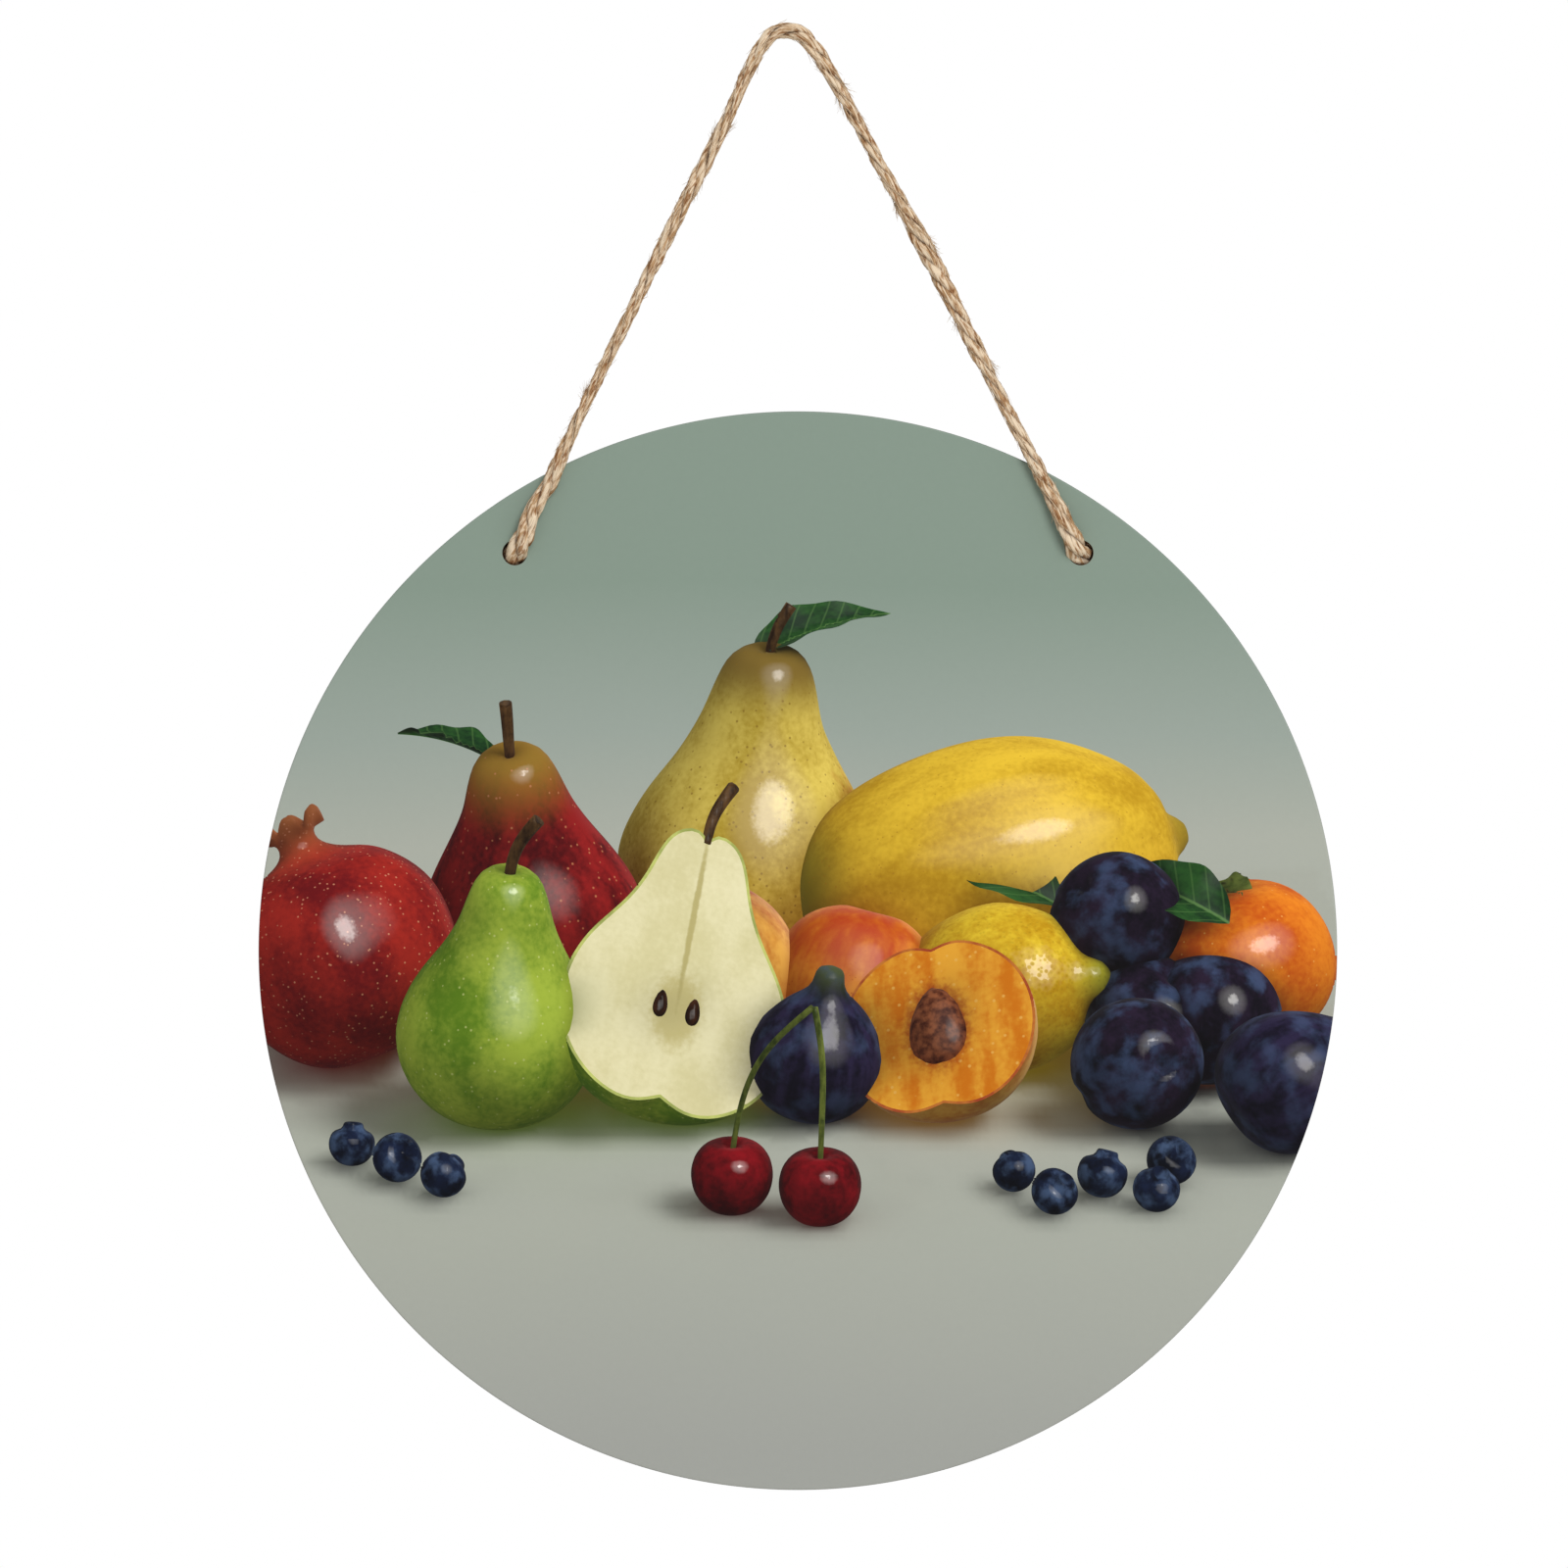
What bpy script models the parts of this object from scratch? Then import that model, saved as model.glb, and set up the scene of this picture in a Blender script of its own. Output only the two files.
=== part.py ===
"""Round wooden wall sign that hangs from a knotted jute rope.

Metres, +Z up, front towards -Y. The origin is the underside of the rope's highest point, where a nail
or hook carries the sign.
"""

import math

import bmesh
import bpy
import numpy as np
from mathutils import Matrix, Vector

# Board
BOARD_DIAMETER = 0.300
BOARD_THICKNESS = 0.005
BOARD_EDGE_EASING = 0.0004
BOARD_SIDES = 160

# Rope, and the two holes that it passes through: their inset is from the board's edge to their centres
ROPE_DIAMETER = 0.0043
HOLE_PLAY = 0.0025
HOLE_SPACING = 0.1574
HOLE_INSET = 0.0142
HOLE_SIDES = 40

# Hanging point: its height above the board's top edge, and how far it is left of the board's middle
HANGING_HEIGHT = 0.1039
HANGING_SHIFT = 0.0033

# Bends of the rope's middle line, over the nail and out of each hole
NAIL_BEND_RADIUS = 0.0084
HOLE_BEND_RADIUS = 0.0065

# Overhand knots behind the board. A knot's strand winds twice round a ring, and swings in and out and
# up and down across it. A tilt is how far a knot lies above its hole, and the tail leaves the other way.
KNOT_STRAND = 0.0036
KNOT_RING = 0.0044
KNOT_SWING = 0.0020
KNOT_TAIL = 0.0105
KNOT_TILTS = {"left": math.radians(24), "right": math.radians(8)}
KNOT_START_DEGREES = 30
KNOT_END_DEGREES = 660
TAIL_SPREAD = 0.25
TAIL_DROOP = 0.5

# Gap between pieces that touch
CLEARANCE = 0.0003

SIDES = {"left": -1, "right": 1}
FRONT = Vector((0, -1, 0))
BACK = Vector((0, 1, 0))

# How far each leg of the rope bows outwards, at these shares of the way from its hole to the nail
LEG_SHARES = (0.10, 0.18, 0.28, 0.44, 0.60, 0.76, 0.90)
LEG_BOWS = {
    "left": (0.0004, 0.0003, 0.0003, 0.0001, 0.0, -0.0004, -0.0004),
    "right": (0.0001, 0.0004, 0.0005, 0.0009, 0.0014, 0.0012, 0.0010),
}
# Share of a leg that lies on the board's face, to just past the board's edge, and how far the rope stands
# off the face where it has bent out of its hole
SHARE_ON_BOARD = 0.18
HOLE_BEND_RISE = 0.0005

# A tube has a point at least this often, and wherever it has turned this far
STRAIGHT_STEP = 2.5 * ROPE_DIAMETER
ROPE_TURN = math.radians(15)
KNOT_TURN = math.radians(22)
FINE_STEP = 0.0002


def clear_scene():
    """Removes every object of the scene."""
    for obj in list(bpy.data.objects):
        bpy.data.objects.remove(obj, do_unlink=True)


def finish(name, colour, roughness):
    """A material with one colour and roughness, and no metal."""
    material = bpy.data.materials.new(name)
    material.use_nodes = True
    shader = material.node_tree.nodes["Principled BSDF"]
    shader.inputs["Base Color"].default_value = (*colour, 1)
    shader.inputs["Roughness"].default_value = roughness
    shader.inputs["Metallic"].default_value = 0
    return material


def add_object(name, data, material=None):
    """Links an object for the data into the scene."""
    obj = bpy.data.objects.new(name, data)
    bpy.context.scene.collection.objects.link(obj)
    if material:
        data.materials.append(material)
    return obj


def board_centre():
    """Centre of the board, midway through its thickness."""
    return Vector((HANGING_SHIFT, 0, -HANGING_HEIGHT - BOARD_DIAMETER / 2))


def hole_centre(side):
    """Centre of the left or right hole, midway through the board."""
    across = HOLE_SPACING / 2
    rise = math.sqrt((BOARD_DIAMETER / 2 - HOLE_INSET) ** 2 - across**2)
    return board_centre() + Vector((SIDES[side] * across, 0, rise))


def disc_mesh(name, diameter, thickness, sides):
    """A round slab that stands upright, with its middle at the origin and its axis along Y."""
    bm = bmesh.new()
    bmesh.ops.create_circle(bm, cap_ends=True, segments=sides, radius=diameter / 2)
    grown = bmesh.ops.extrude_face_region(bm, geom=bm.faces[:])
    moved = [item for item in grown["geom"] if isinstance(item, bmesh.types.BMVert)]
    bmesh.ops.translate(bm, verts=moved, vec=(0, 0, thickness))
    bmesh.ops.translate(bm, verts=bm.verts[:], vec=(0, 0, -thickness / 2))
    bmesh.ops.rotate(bm, verts=bm.verts[:], matrix=Matrix.Rotation(math.radians(90), 3, "X"))
    bmesh.ops.recalc_face_normals(bm, faces=bm.faces[:])
    mesh = bpy.data.meshes.new(name)
    bm.to_mesh(mesh)
    bm.free()
    return mesh


def make_board():
    """The printed board, with its two rope holes and its eased edges."""
    material = finish("printed_board", (0.36, 0.41, 0.35), 0.42)
    board = add_object("board", disc_mesh("board", BOARD_DIAMETER, BOARD_THICKNESS, BOARD_SIDES), material)
    board.location = board_centre()
    for side in SIDES:
        name = "hole_cutter_" + side
        drill = disc_mesh(name, ROPE_DIAMETER + HOLE_PLAY, 3 * BOARD_THICKNESS, HOLE_SIDES)
        cutter = add_object(name, drill)
        cutter.location = hole_centre(side)
        cutter.hide_render = True
        cutter.display_type = "WIRE"
        cut = board.modifiers.new(name, "BOOLEAN")
        cut.operation = "DIFFERENCE"
        cut.object = cutter
    easing = board.modifiers.new("eased_edges", "BEVEL")
    easing.width = BOARD_EDGE_EASING
    easing.segments = 2
    easing.limit_method = "ANGLE"
    easing.angle_limit = math.radians(60)
    board.data.shade_smooth()
    board.data.set_sharp_from_angle(angle=math.radians(30))
    return board


def leg_direction(side):
    """Direction of a leg of the rope, from its hole up to the nail's bend."""
    return (nail_bend_point(side, 1) - hole_centre(side)).normalized()


def nail_bend_point(side, share):
    """A point of the bend over the nail: share 0 is its top, and share 1 is where the leg leaves it."""
    spread = math.atan2(HOLE_SPACING / 2, -hole_centre(side).z)
    turn = share * (math.pi / 2 - spread)
    across = SIDES[side] * NAIL_BEND_RADIUS * math.sin(turn)
    drop = NAIL_BEND_RADIUS * (1 - math.cos(turn))
    return Vector((across, 0, ROPE_DIAMETER / 2 - drop))


def rope_mouth(side):
    """Where the rope's middle line leaves the back of its hole: it lies low in the hole."""
    slack = HOLE_PLAY / 2 - CLEARANCE
    return hole_centre(side) - leg_direction(side) * slack + BACK * (BOARD_THICKNESS / 2)


def leg_route(side):
    """Points of one leg, from the back of its hole to the bend over the nail."""
    up = leg_direction(side)
    outward = up.cross(FRONT) * SIDES[side]
    lie = BOARD_THICKNESS / 2 + CLEARANCE + ROPE_DIAMETER / 2
    mouth = rope_mouth(side)
    run = BOARD_THICKNESS / 2 + lie + HOLE_BEND_RISE - HOLE_BEND_RADIUS
    route = [mouth]
    for degrees in (0, 30, 60, 88):
        turn = math.radians(degrees)
        rise = HOLE_BEND_RADIUS * (1 - math.cos(turn))
        out = HOLE_BEND_RADIUS * math.sin(turn)
        route.append(mouth + up * rise + FRONT * (run + out))
    top = nail_bend_point(side, 1)
    length = (top - hole_centre(side)).dot(up)
    for share, bow in zip(LEG_SHARES, LEG_BOWS[side]):
        lean = lie * min(1, (1 - share) / (1 - SHARE_ON_BOARD))
        route.append(hole_centre(side) + up * (share * length) + outward * bow + FRONT * lean)
    return route


def rope_route():
    """The rope's chosen points, from the back of the left hole over the nail to the back of the right one."""
    bend = [nail_bend_point("left", 1), nail_bend_point("left", 0.5), nail_bend_point("left", 0)]
    bend += [nail_bend_point("right", 0.5), nail_bend_point("right", 1)]
    return leg_route("left") + bend + leg_route("right")[::-1]


def knot_route(side):
    """Points of a knot that lies flat on the board's back, from the rope's mouth to its short tail."""
    tilt = KNOT_TILTS[side]
    inward = Vector((-SIDES[side] * math.cos(tilt), 0, math.sin(tilt)))
    across = BACK.cross(inward)
    mouth = rope_mouth(side) + BACK * CLEARANCE
    centre = mouth + inward * (KNOT_RING + KNOT_SWING) + BACK * (KNOT_STRAND / 2 + KNOT_SWING)
    route = [mouth, mouth + BACK * (KNOT_STRAND / 2)]
    for degrees in range(KNOT_START_DEGREES, KNOT_END_DEGREES + 1, 30):
        turn = math.radians(degrees)
        reach = KNOT_RING + KNOT_SWING * math.cos(1.5 * turn)
        flat = across * (reach * math.sin(turn)) - inward * (reach * math.cos(turn))
        route.append(centre + flat + BACK * (KNOT_SWING * math.sin(1.5 * turn)))
    way = (-inward - across * TAIL_SPREAD).normalized()
    drooping = (way - Vector((0, 0, TAIL_DROOP))).normalized()
    route.append(route[-1] + way * (KNOT_TAIL / 2))
    route.append(route[-1] + drooping * (KNOT_TAIL / 2))
    return route


def smooth_line(points):
    """Places, a fine step apart, on one smooth curve through the points.

    The curve is a natural cubic spline over the distance between the points.
    """
    places = np.array([tuple(point) for point in points])
    spans = np.linalg.norm(np.diff(places, axis=0), axis=1)
    count = len(places)
    system = np.eye(count)
    wanted = np.zeros((count, 3))
    for i in range(1, count - 1):
        before = spans[i - 1]
        after = spans[i]
        system[i, i - 1 : i + 2] = before, 2 * (before + after), after
        wanted[i] = 6 * ((places[i + 1] - places[i]) / after - (places[i] - places[i - 1]) / before)
    bends = np.linalg.solve(system, wanted)
    line = []
    for i, span in enumerate(spans):
        parts = math.ceil(span / FINE_STEP)
        for part in range(parts):
            t = part / parts
            s = 1 - t
            straight = s * places[i] + t * places[i + 1]
            curved = (s**3 - s) * bends[i] + (t**3 - t) * bends[i + 1]
            line.append(Vector(straight + curved * span**2 / 6))
    line.append(Vector(places[-1]))
    return line


def thinned(line, most_turn):
    """The points of the line that a tube needs: one wherever it has turned or run far enough."""
    kept = [line[0]]
    way = (line[1] - line[0]).normalized()
    for point, following in zip(line[1:-1], line[2:]):
        new_way = (following - point).normalized()
        if (point - kept[-1]).length > STRAIGHT_STEP or new_way.angle(way) > most_turn:
            kept.append(point)
            way = new_way
    if (line[-1] - kept[-1]).length < ROPE_DIAMETER / 4:
        kept.pop()
    return kept + [line[-1]]


def make_tube(name, points, diameter, material):
    """A closed tube along the points, as a curve with a round bevel."""
    curve = bpy.data.curves.new(name, "CURVE")
    curve.dimensions = "3D"
    curve.bevel_depth = diameter / 2
    curve.bevel_resolution = 3
    curve.use_fill_caps = True
    spline = curve.splines.new("POLY")
    spline.points.add(len(points) - 1)
    for target, point in zip(spline.points, points):
        target.co = (*point, 1)
    spline.use_smooth = True
    return add_object(name, curve, material)


def make_rope():
    """The rope, from the back of one hole to the back of the other."""
    material = finish("jute_rope", (0.50, 0.36, 0.21), 0.9)
    line = thinned(smooth_line(rope_route()), ROPE_TURN)
    return make_tube("hanging_rope", line, ROPE_DIAMETER, material)


def make_knots():
    """The stopper knots at the rope's two ends."""
    material = finish("jute_knot", (0.46, 0.33, 0.19), 0.92)
    for side in SIDES:
        line = thinned(smooth_line(knot_route(side)), KNOT_TURN)
        make_tube("knot_" + side, line, KNOT_STRAND, material)


def main():
    """Builds the sign."""
    clear_scene()
    make_board()
    make_rope()
    make_knots()


main()
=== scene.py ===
"""Looks of a round wooden wall sign that hangs from a twisted jute rope.

The board's front carries a printed still life. Its fruit are modelled here as a small set on a table, lit and
seen by an eye of their own, and what that eye sees is laid on the board's faces for the print's materials.
"""

import math
import random

import bmesh
import bpy
import numpy as np
from bpy.props import FloatProperty, FloatVectorProperty, IntProperty, PointerProperty
from mathutils import Euler, Matrix, Vector, noise
from mathutils.bvhtree import BVHTree
from mathutils.interpolate import poly_3d_calc


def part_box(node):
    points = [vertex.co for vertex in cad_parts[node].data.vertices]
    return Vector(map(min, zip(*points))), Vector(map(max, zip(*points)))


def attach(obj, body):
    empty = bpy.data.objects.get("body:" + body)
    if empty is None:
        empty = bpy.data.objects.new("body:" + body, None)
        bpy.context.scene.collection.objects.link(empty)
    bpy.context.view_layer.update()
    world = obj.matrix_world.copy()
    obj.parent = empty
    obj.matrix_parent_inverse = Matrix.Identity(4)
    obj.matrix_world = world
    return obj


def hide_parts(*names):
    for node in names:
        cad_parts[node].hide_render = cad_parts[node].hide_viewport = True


bl_info = {
    "name": "Round wall sign on a rope",
    "version": (1, 0, 0),
    "blender": (4, 5, 0),
    "location": "View3D > Sidebar > Wall sign",
    "description": "Dresses a round wooden wall sign: its print, its jute rope and its studio",
    "category": "Object",
}

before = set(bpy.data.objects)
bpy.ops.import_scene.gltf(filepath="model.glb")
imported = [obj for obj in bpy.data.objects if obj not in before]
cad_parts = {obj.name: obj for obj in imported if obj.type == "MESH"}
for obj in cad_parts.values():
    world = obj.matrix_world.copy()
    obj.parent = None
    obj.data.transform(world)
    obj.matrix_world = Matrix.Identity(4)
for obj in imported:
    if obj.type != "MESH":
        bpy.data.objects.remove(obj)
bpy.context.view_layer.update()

# Board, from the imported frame
BOARD_LOW, BOARD_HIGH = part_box("board")
BOARD_CENTRE = (BOARD_LOW + BOARD_HIGH) / 2
BOARD_RADIUS = (BOARD_HIGH.x - BOARD_LOW.x) / 2
BOARD_THICKNESS = BOARD_HIGH.y - BOARD_LOW.y

# Rope and its holes, as in the part's source
ROPE_DIAMETER = 0.0043
HOLE_PLAY = 0.0025
HOLE_SPACING = 0.1574
HOLE_INSET = 0.0142
NAIL_BEND_RADIUS = 0.0084
HOLE_BEND_RADIUS = 0.0065
HOLE_BEND_RISE = 0.0005
SHARE_ON_BOARD = 0.18
LEG_SHARES = (0.10, 0.18, 0.28, 0.44, 0.60, 0.76, 0.90)
LEG_BOWS = {
    "left": (0.0004, 0.0003, 0.0003, 0.0001, 0.0, -0.0004, -0.0004),
    "right": (0.0001, 0.0004, 0.0005, 0.0009, 0.0014, 0.0012, 0.0010),
}

# Knots behind the board, as in the part's source
KNOT_STRAND = 0.0036
KNOT_RING = 0.0044
KNOT_SWING = 0.0020
KNOT_TAIL = 0.0105
KNOT_TILTS = {"left": math.radians(24), "right": math.radians(8)}
KNOT_START_DEGREES = 30
KNOT_END_DEGREES = 660
TAIL_SPREAD = 0.25
TAIL_DROOP = 0.5

CLEARANCE = 0.0003
SIDES = {"left": -1, "right": 1}
FRONT = Vector((0, -1, 0))
BACK = Vector((0, 1, 0))
FULL_TURN = 2 * math.pi

# Photograph: its frame is 1600 pixels, its middle is this pixel, and a pixel is this long on the board
MM_PER_PIXEL = 0.27273
FRAME_PIXELS = 1600
BOARD_CENTRE_PIXEL = (814.13, 969.97)
CAMERA_DISTANCE = 4.0

# Print's own eye, in millimetres at the print's size: the table is the plane z = 0
EYE_PITCH = math.radians(18)
EYE_DISTANCE = 1000.0
EYE_TARGET = Vector((0, 0, 63))
EYE_AHEAD = Vector((0, math.cos(EYE_PITCH), -math.sin(EYE_PITCH)))
EYE_UP = Vector((0, math.sin(EYE_PITCH), math.cos(EYE_PITCH)))
EYE = EYE_TARGET - EYE_AHEAD * EYE_DISTANCE

# Print's light: a soft lamp high at the right, a weaker fill at the left front, a pale room, and the window
# whose shine the skins mirror
LAMP = Vector((0.56, -0.20, 0.76)).normalized()
LAMP_SPREAD = math.radians(12)
LAMP_STRENGTH = 1.80
FILL = Vector((-0.45, -0.85, 0.35)).normalized()
FILL_STRENGTH = 0.55
WINDOW = Vector((0.38, -0.56, 0.73)).normalized()
ROOM_STRENGTH = 0.36
TABLE_GLOW = 0.32
FRUIT_GLOW = 1.00

# What a point of the print shows, apart from a fruit's own number
BEYOND_EDGE = -1
IN_HOLE = -2
TABLE = 0

# Print: rays for its light start this far off a surface and look this far, in millimetres. The table's light
# is compared with that of a far place on it, and worked out in these steps over these spans of x and y.
# Outlines are found by so many halvings.
RAY_START = 0.35
RAY_REACH = 700
FAR_TABLE = Vector((0, -2000, 0))
UPWARDS = Vector((0, 0, 1))
TABLE_STEPS = (3.0, 6.0)
TABLE_SPANS = ((-186.0, 187.0), (-150.0, 290.0))
OUTLINE_HALVINGS = 9
GOLDEN_ANGLE = math.pi * (3 - math.sqrt(5))

# Eased rims of the board's face and of its holes, in metres, and the print inside them, in millimetres
MM_PER_M = 1000
EASING = 0.0004
HOLE_EASING = 0.00012
HOLE_RADIUS = (ROPE_DIAMETER + HOLE_PLAY) / 2
PRINT_RADIUS = (BOARD_RADIUS - EASING) * MM_PER_M
HOLE_PRINT_RADIUS = (HOLE_RADIUS + HOLE_EASING) * MM_PER_M

# Print: thin kinds, of which both sides can be seen
OPEN_KINDS = ("leaf", "calyx", "pear_edge", "pear_flesh", "peach_edge", "peach_flesh")

# Print: what each kind of surface looks like, with lengths in millimetres.
# Its colours are a dark and a light tone, and its grain is how fine their clouds are along x, y and z.
# Its shine is how strongly it mirrors the window, and wide is the half width of that in degrees.
# Its ends are a colour and the heights between which it comes in; its dots a spacing, a size and a colour.
# Its blush has a colour, the direction that it faces, where it starts and ends, and the height of its middle.
# Its core is a colour, its middle's height, and how wide and tall it is; its bloom a pale dust's colour and
# strength, and dust is how fine that is. Pores are a spacing, veins a colour, and fuzz a pale outline.
KINDS = {
    "melon": {"colours": ("c0941a", "edc436"), "grain": (0.05, 0.05, 0.016), "shine": 0.34, "wide": 15,
              "ends": (("858325", -44, -64), ("9c8428", 52, 68)), "dots": (2.6, 0.16, "b98a24")},
    "green_pear": {"colours": ("658c1e", "a9bf42"), "grain": (0.05, 0.05, 0.03), "shine": 0.55, "wide": 13,
                   "ends": (("7b6a30", 74, 92),), "dots": (2.6, 0.17, "d3dc86")},
    "red_pear": {"colours": ("4d0a10", "981f20"), "grain": (0.10, 0.10, 0.02), "shine": 0.6, "wide": 11,
                 "ends": (("9c7a2e", 70, 96),), "dots": (3.0, 0.17, "d08a62")},
    "yellow_pear": {"colours": ("b3962a", "e6cf62"), "grain": (0.04, 0.04, 0.02), "shine": 0.42, "wide": 14,
                    "ends": (("80682c", 90, 108),), "dots": (2.8, 0.19, "8c6c26"),
                    "blush": ("b9582a", (0.9, -0.2, -0.1), 0.45, 1.15, 45.0)},
    "peach": {"colours": ("cc7c26", "efb551"), "grain": (0.09, 0.09, 0.03), "shine": 0.07, "wide": 30,
              "blush": ("8a1a1a", (-0.4, -0.7, 0.55), -0.35, 0.9, 26.0), "fuzz": 0.16},
    "apricot": {"colours": ("d47416", "f5a233"), "grain": (0.06, 0.06, 0.05), "shine": 0.10, "wide": 26,
                "blush": ("b6391a", (0.5, -0.6, 0.6), 0.25, 1.15, 26.0), "dots": (2.2, 0.15, "bf5a18"),
                "fuzz": 0.10},
    "persimmon": {"colours": ("c9540e", "f08a22"), "grain": (0.05, 0.05, 0.03), "shine": 0.42, "wide": 11,
                  "dots": (3.4, 0.12, "f7b25a")},
    "calyx": {"colours": ("39491c", "6d7a38"), "grain": (0.1, 0.1, 0.1), "shine": 0.10, "wide": 24},
    "plum": {"colours": ("0f0b16", "2a1d33"), "grain": (0.10, 0.10, 0.05), "shine": 0.45, "wide": 9,
             "bloom": ("4b5f86", 0.55)},
    "lemon": {"colours": ("c29210", "f2d236"), "grain": (0.05, 0.05, 0.05), "shine": 0.34, "wide": 12,
              "pores": 1.5, "ends": (("9c982a", 27, 38),)},
    "pomegranate": {"colours": ("6d1015", "a8281f"), "grain": (0.05, 0.05, 0.02), "shine": 0.55, "wide": 12,
                    "dots": (2.0, 0.20, "e09a78"), "ends": (("a5623a", 58, 76),)},
    "fig": {"colours": ("120e20", "2b2442"), "grain": (0.22, 0.22, 0.03), "shine": 0.26, "wide": 13,
            "ends": (("59653e", 36, 52),), "bloom": ("4a5b80", 0.45)},
    "berry": {"colours": ("090c1a", "18233f"), "grain": (0.16, 0.16, 0.16), "shine": 0.40, "wide": 11,
              "bloom": ("5a7299", 0.6), "dust": 0.2},
    "cherry": {"colours": ("42050a", "8c101a"), "grain": (0.07, 0.07, 0.05), "shine": 0.85, "wide": 9},
    "stem": {"colours": ("34200f", "6f4f2c"), "grain": (0.5, 0.5, 0.12), "shine": 0.10, "wide": 25},
    "green_stem": {"colours": ("3a4a18", "7f8c3c"), "grain": (0.4, 0.4, 0.08), "shine": 0.15, "wide": 25},
    "leaf": {"colours": ("14301a", "2c5a26"), "grain": (0.05, 0.12, 0.1), "shine": 0.20, "wide": 20,
             "veins": "5c8446"},
    "pear_edge": {"colours": ("8a9630", "bcc45a"), "grain": (0.1, 0.1, 0.1), "shine": 0.10, "wide": 20},
    "pear_flesh": {"colours": ("d0c890", "e4ddae"), "grain": (0.05, 0.05, 0.03), "shine": 0.08, "wide": 24,
                   "core": (("bfb268", 30, 8.5, 13.0), ("a99c50", 60, 1.1, 30.0))},
    "pip": {"colours": ("1a0c06", "472613"), "grain": (0.3, 0.3, 0.1), "shine": 0.5, "wide": 13},
    "peach_edge": {"colours": ("a83e1a", "d07c2c"), "grain": (0.1, 0.1, 0.1), "shine": 0.1, "wide": 24},
    "peach_flesh": {"colours": ("dc7c14", "f6b038"), "grain": (0.16, 0.16, 0.05), "shine": 0.32, "wide": 15,
                    "core": (("9c2418", 26, 10.5, 14.5),), "dots": (3.2, 0.2, "fbc664")},
    "stone": {"colours": ("431a0f", "935636"), "grain": (0.35, 0.35, 0.35), "shine": 0.1, "wide": 24},
}

# Rope: its plies, their sides, the spacing of its points, and where its first ply starts. With this lay, a
# hollow faces the gap in each hole.
PLIES = 3
PLY_SIDES = 18
FINE_STEP = 0.0002
PLY_STATION = 0.0005
CORD_STATION = 0.002
ROPE_PHASE = 1.047

# How thick the rope is, as a share of its full size, at shares of the way from each hole to the nail, the
# most that it may be off the board, and how many points its sizes are evened over
THICKNESS = {
    "left": (
        (0, 1.54), (0.03, 1.34), (0.08, 1.10), (0.13, 1.0), (0.17, 1.06), (0.22, 0.80), (0.34, 0.75),
        (0.44, 0.80), (0.50, 0.77), (0.57, 0.93), (0.68, 0.90), (0.75, 1.0), (0.83, 0.84), (0.91, 0.78),
        (1, 0.95),
    ),
    "right": (
        (0, 1.54), (0.03, 1.34), (0.08, 1.14), (0.12, 1.04), (0.20, 0.92), (0.36, 0.88), (0.40, 1.22),
        (0.45, 0.96), (0.53, 1.17), (0.62, 1.24), (0.67, 0.93), (0.80, 0.86), (0.92, 0.90), (1, 1.12),
    ),
}
MOST_OFF_BOARD = 1.04
EVENED_POINTS = 11

# How far the rope lies outwards of its plain route, at shares of the way from each hole to the nail, and how
# far it stands up in the front of its hole, which it fills but for a gap at its upper outer side
LIES = {
    "left": (
        (0, -0.0003), (0.034, -0.0002), (0.085, 0.0003), (0.136, -0.0009), (0.19, -0.0002), (0.25, 0),
        (0.91, 0), (0.94, -0.0005), (0.97, -0.0013), (1.0, -0.0011), (1.04, 0),
    ),
    "right": ((0, -0.0005), (0.034, -0.0003), (0.085, 0.0), (0.136, 0.0001), (0.25, -0.0002), (0.32, 0)),
}
HOLE_SHARE = 0.05
LIFT_IN_HOLE = 0.0009

# How far a knot's neck bulges behind its hole, as a share of the rope, how far along the neck ends and the
# knot's own thickness starts, and where its first ply lies
NECK = 2.15
NECK_END = 0.0022
KNOT_START = 0.0055
NECK_PHASES = {"left": 0.8, "right": 2.4}

# Loose fibres: their length, the most that an end lifts, their thickness as a share of a hair's, how far out
# they lie as a share of the rope, and the parts and sides of their tubes
LONG_FIBRE = {
    "length": (0.007, 0.018), "lift": 0.00025, "thick": (1.5, 2.6), "lie": 0.93, "parts": 12, "sides": 4,
}
SHORT_HAIR = {
    "length": (0.0018, 0.0055), "lift": 0.0013, "thick": (0.7, 1.3), "lie": 0.86, "parts": 6, "sides": 3,
}

# Loose fibres end short of the rope's ends; a knot has a share of the hairs, and its tail is frayed
FIBRE_FREE_END = 0.010
KNOT_HAIRS_SHARE = 6
FRAY_FIBRES = 36

# Tufts of short hairs: their shares of the way from the left hole to the right one, and -1 for the rope's
# upper or outer side there and 1 for its lower or inner one
TUFTS = (
    (0.150, -1), (0.384, -1), (0.392, 1), (0.558, -1), (0.566, 1), (0.66, 1), (0.70, -1), (0.767, 1),
    (0.81, -1),
)
TUFT_FIBRES = 13

# Studio: place and width of the soft light, and the camera's sensor in millimetres
KEY_PLACE = (0.9, -2.6, 1.3)
KEY_WIDTH = 1.6
SENSOR_WIDTH = 36


# Routes of the rope and its knots


def hole_centre(side):
    """Centre of the left or right hole, midway through the board."""
    across = HOLE_SPACING / 2
    rise = math.sqrt((BOARD_RADIUS - HOLE_INSET) ** 2 - across**2)
    return BOARD_CENTRE + Vector((SIDES[side] * across, 0, rise))


def nail_bend_point(side, share):
    """A point of the bend over the nail: share 0 is its top, and share 1 is where the leg leaves it."""
    spread = math.atan2(HOLE_SPACING / 2, -hole_centre(side).z)
    turn = share * (math.pi / 2 - spread)
    across = SIDES[side] * NAIL_BEND_RADIUS * math.sin(turn)
    drop = NAIL_BEND_RADIUS * (1 - math.cos(turn))
    return Vector((across, 0, ROPE_DIAMETER / 2 - drop))


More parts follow.
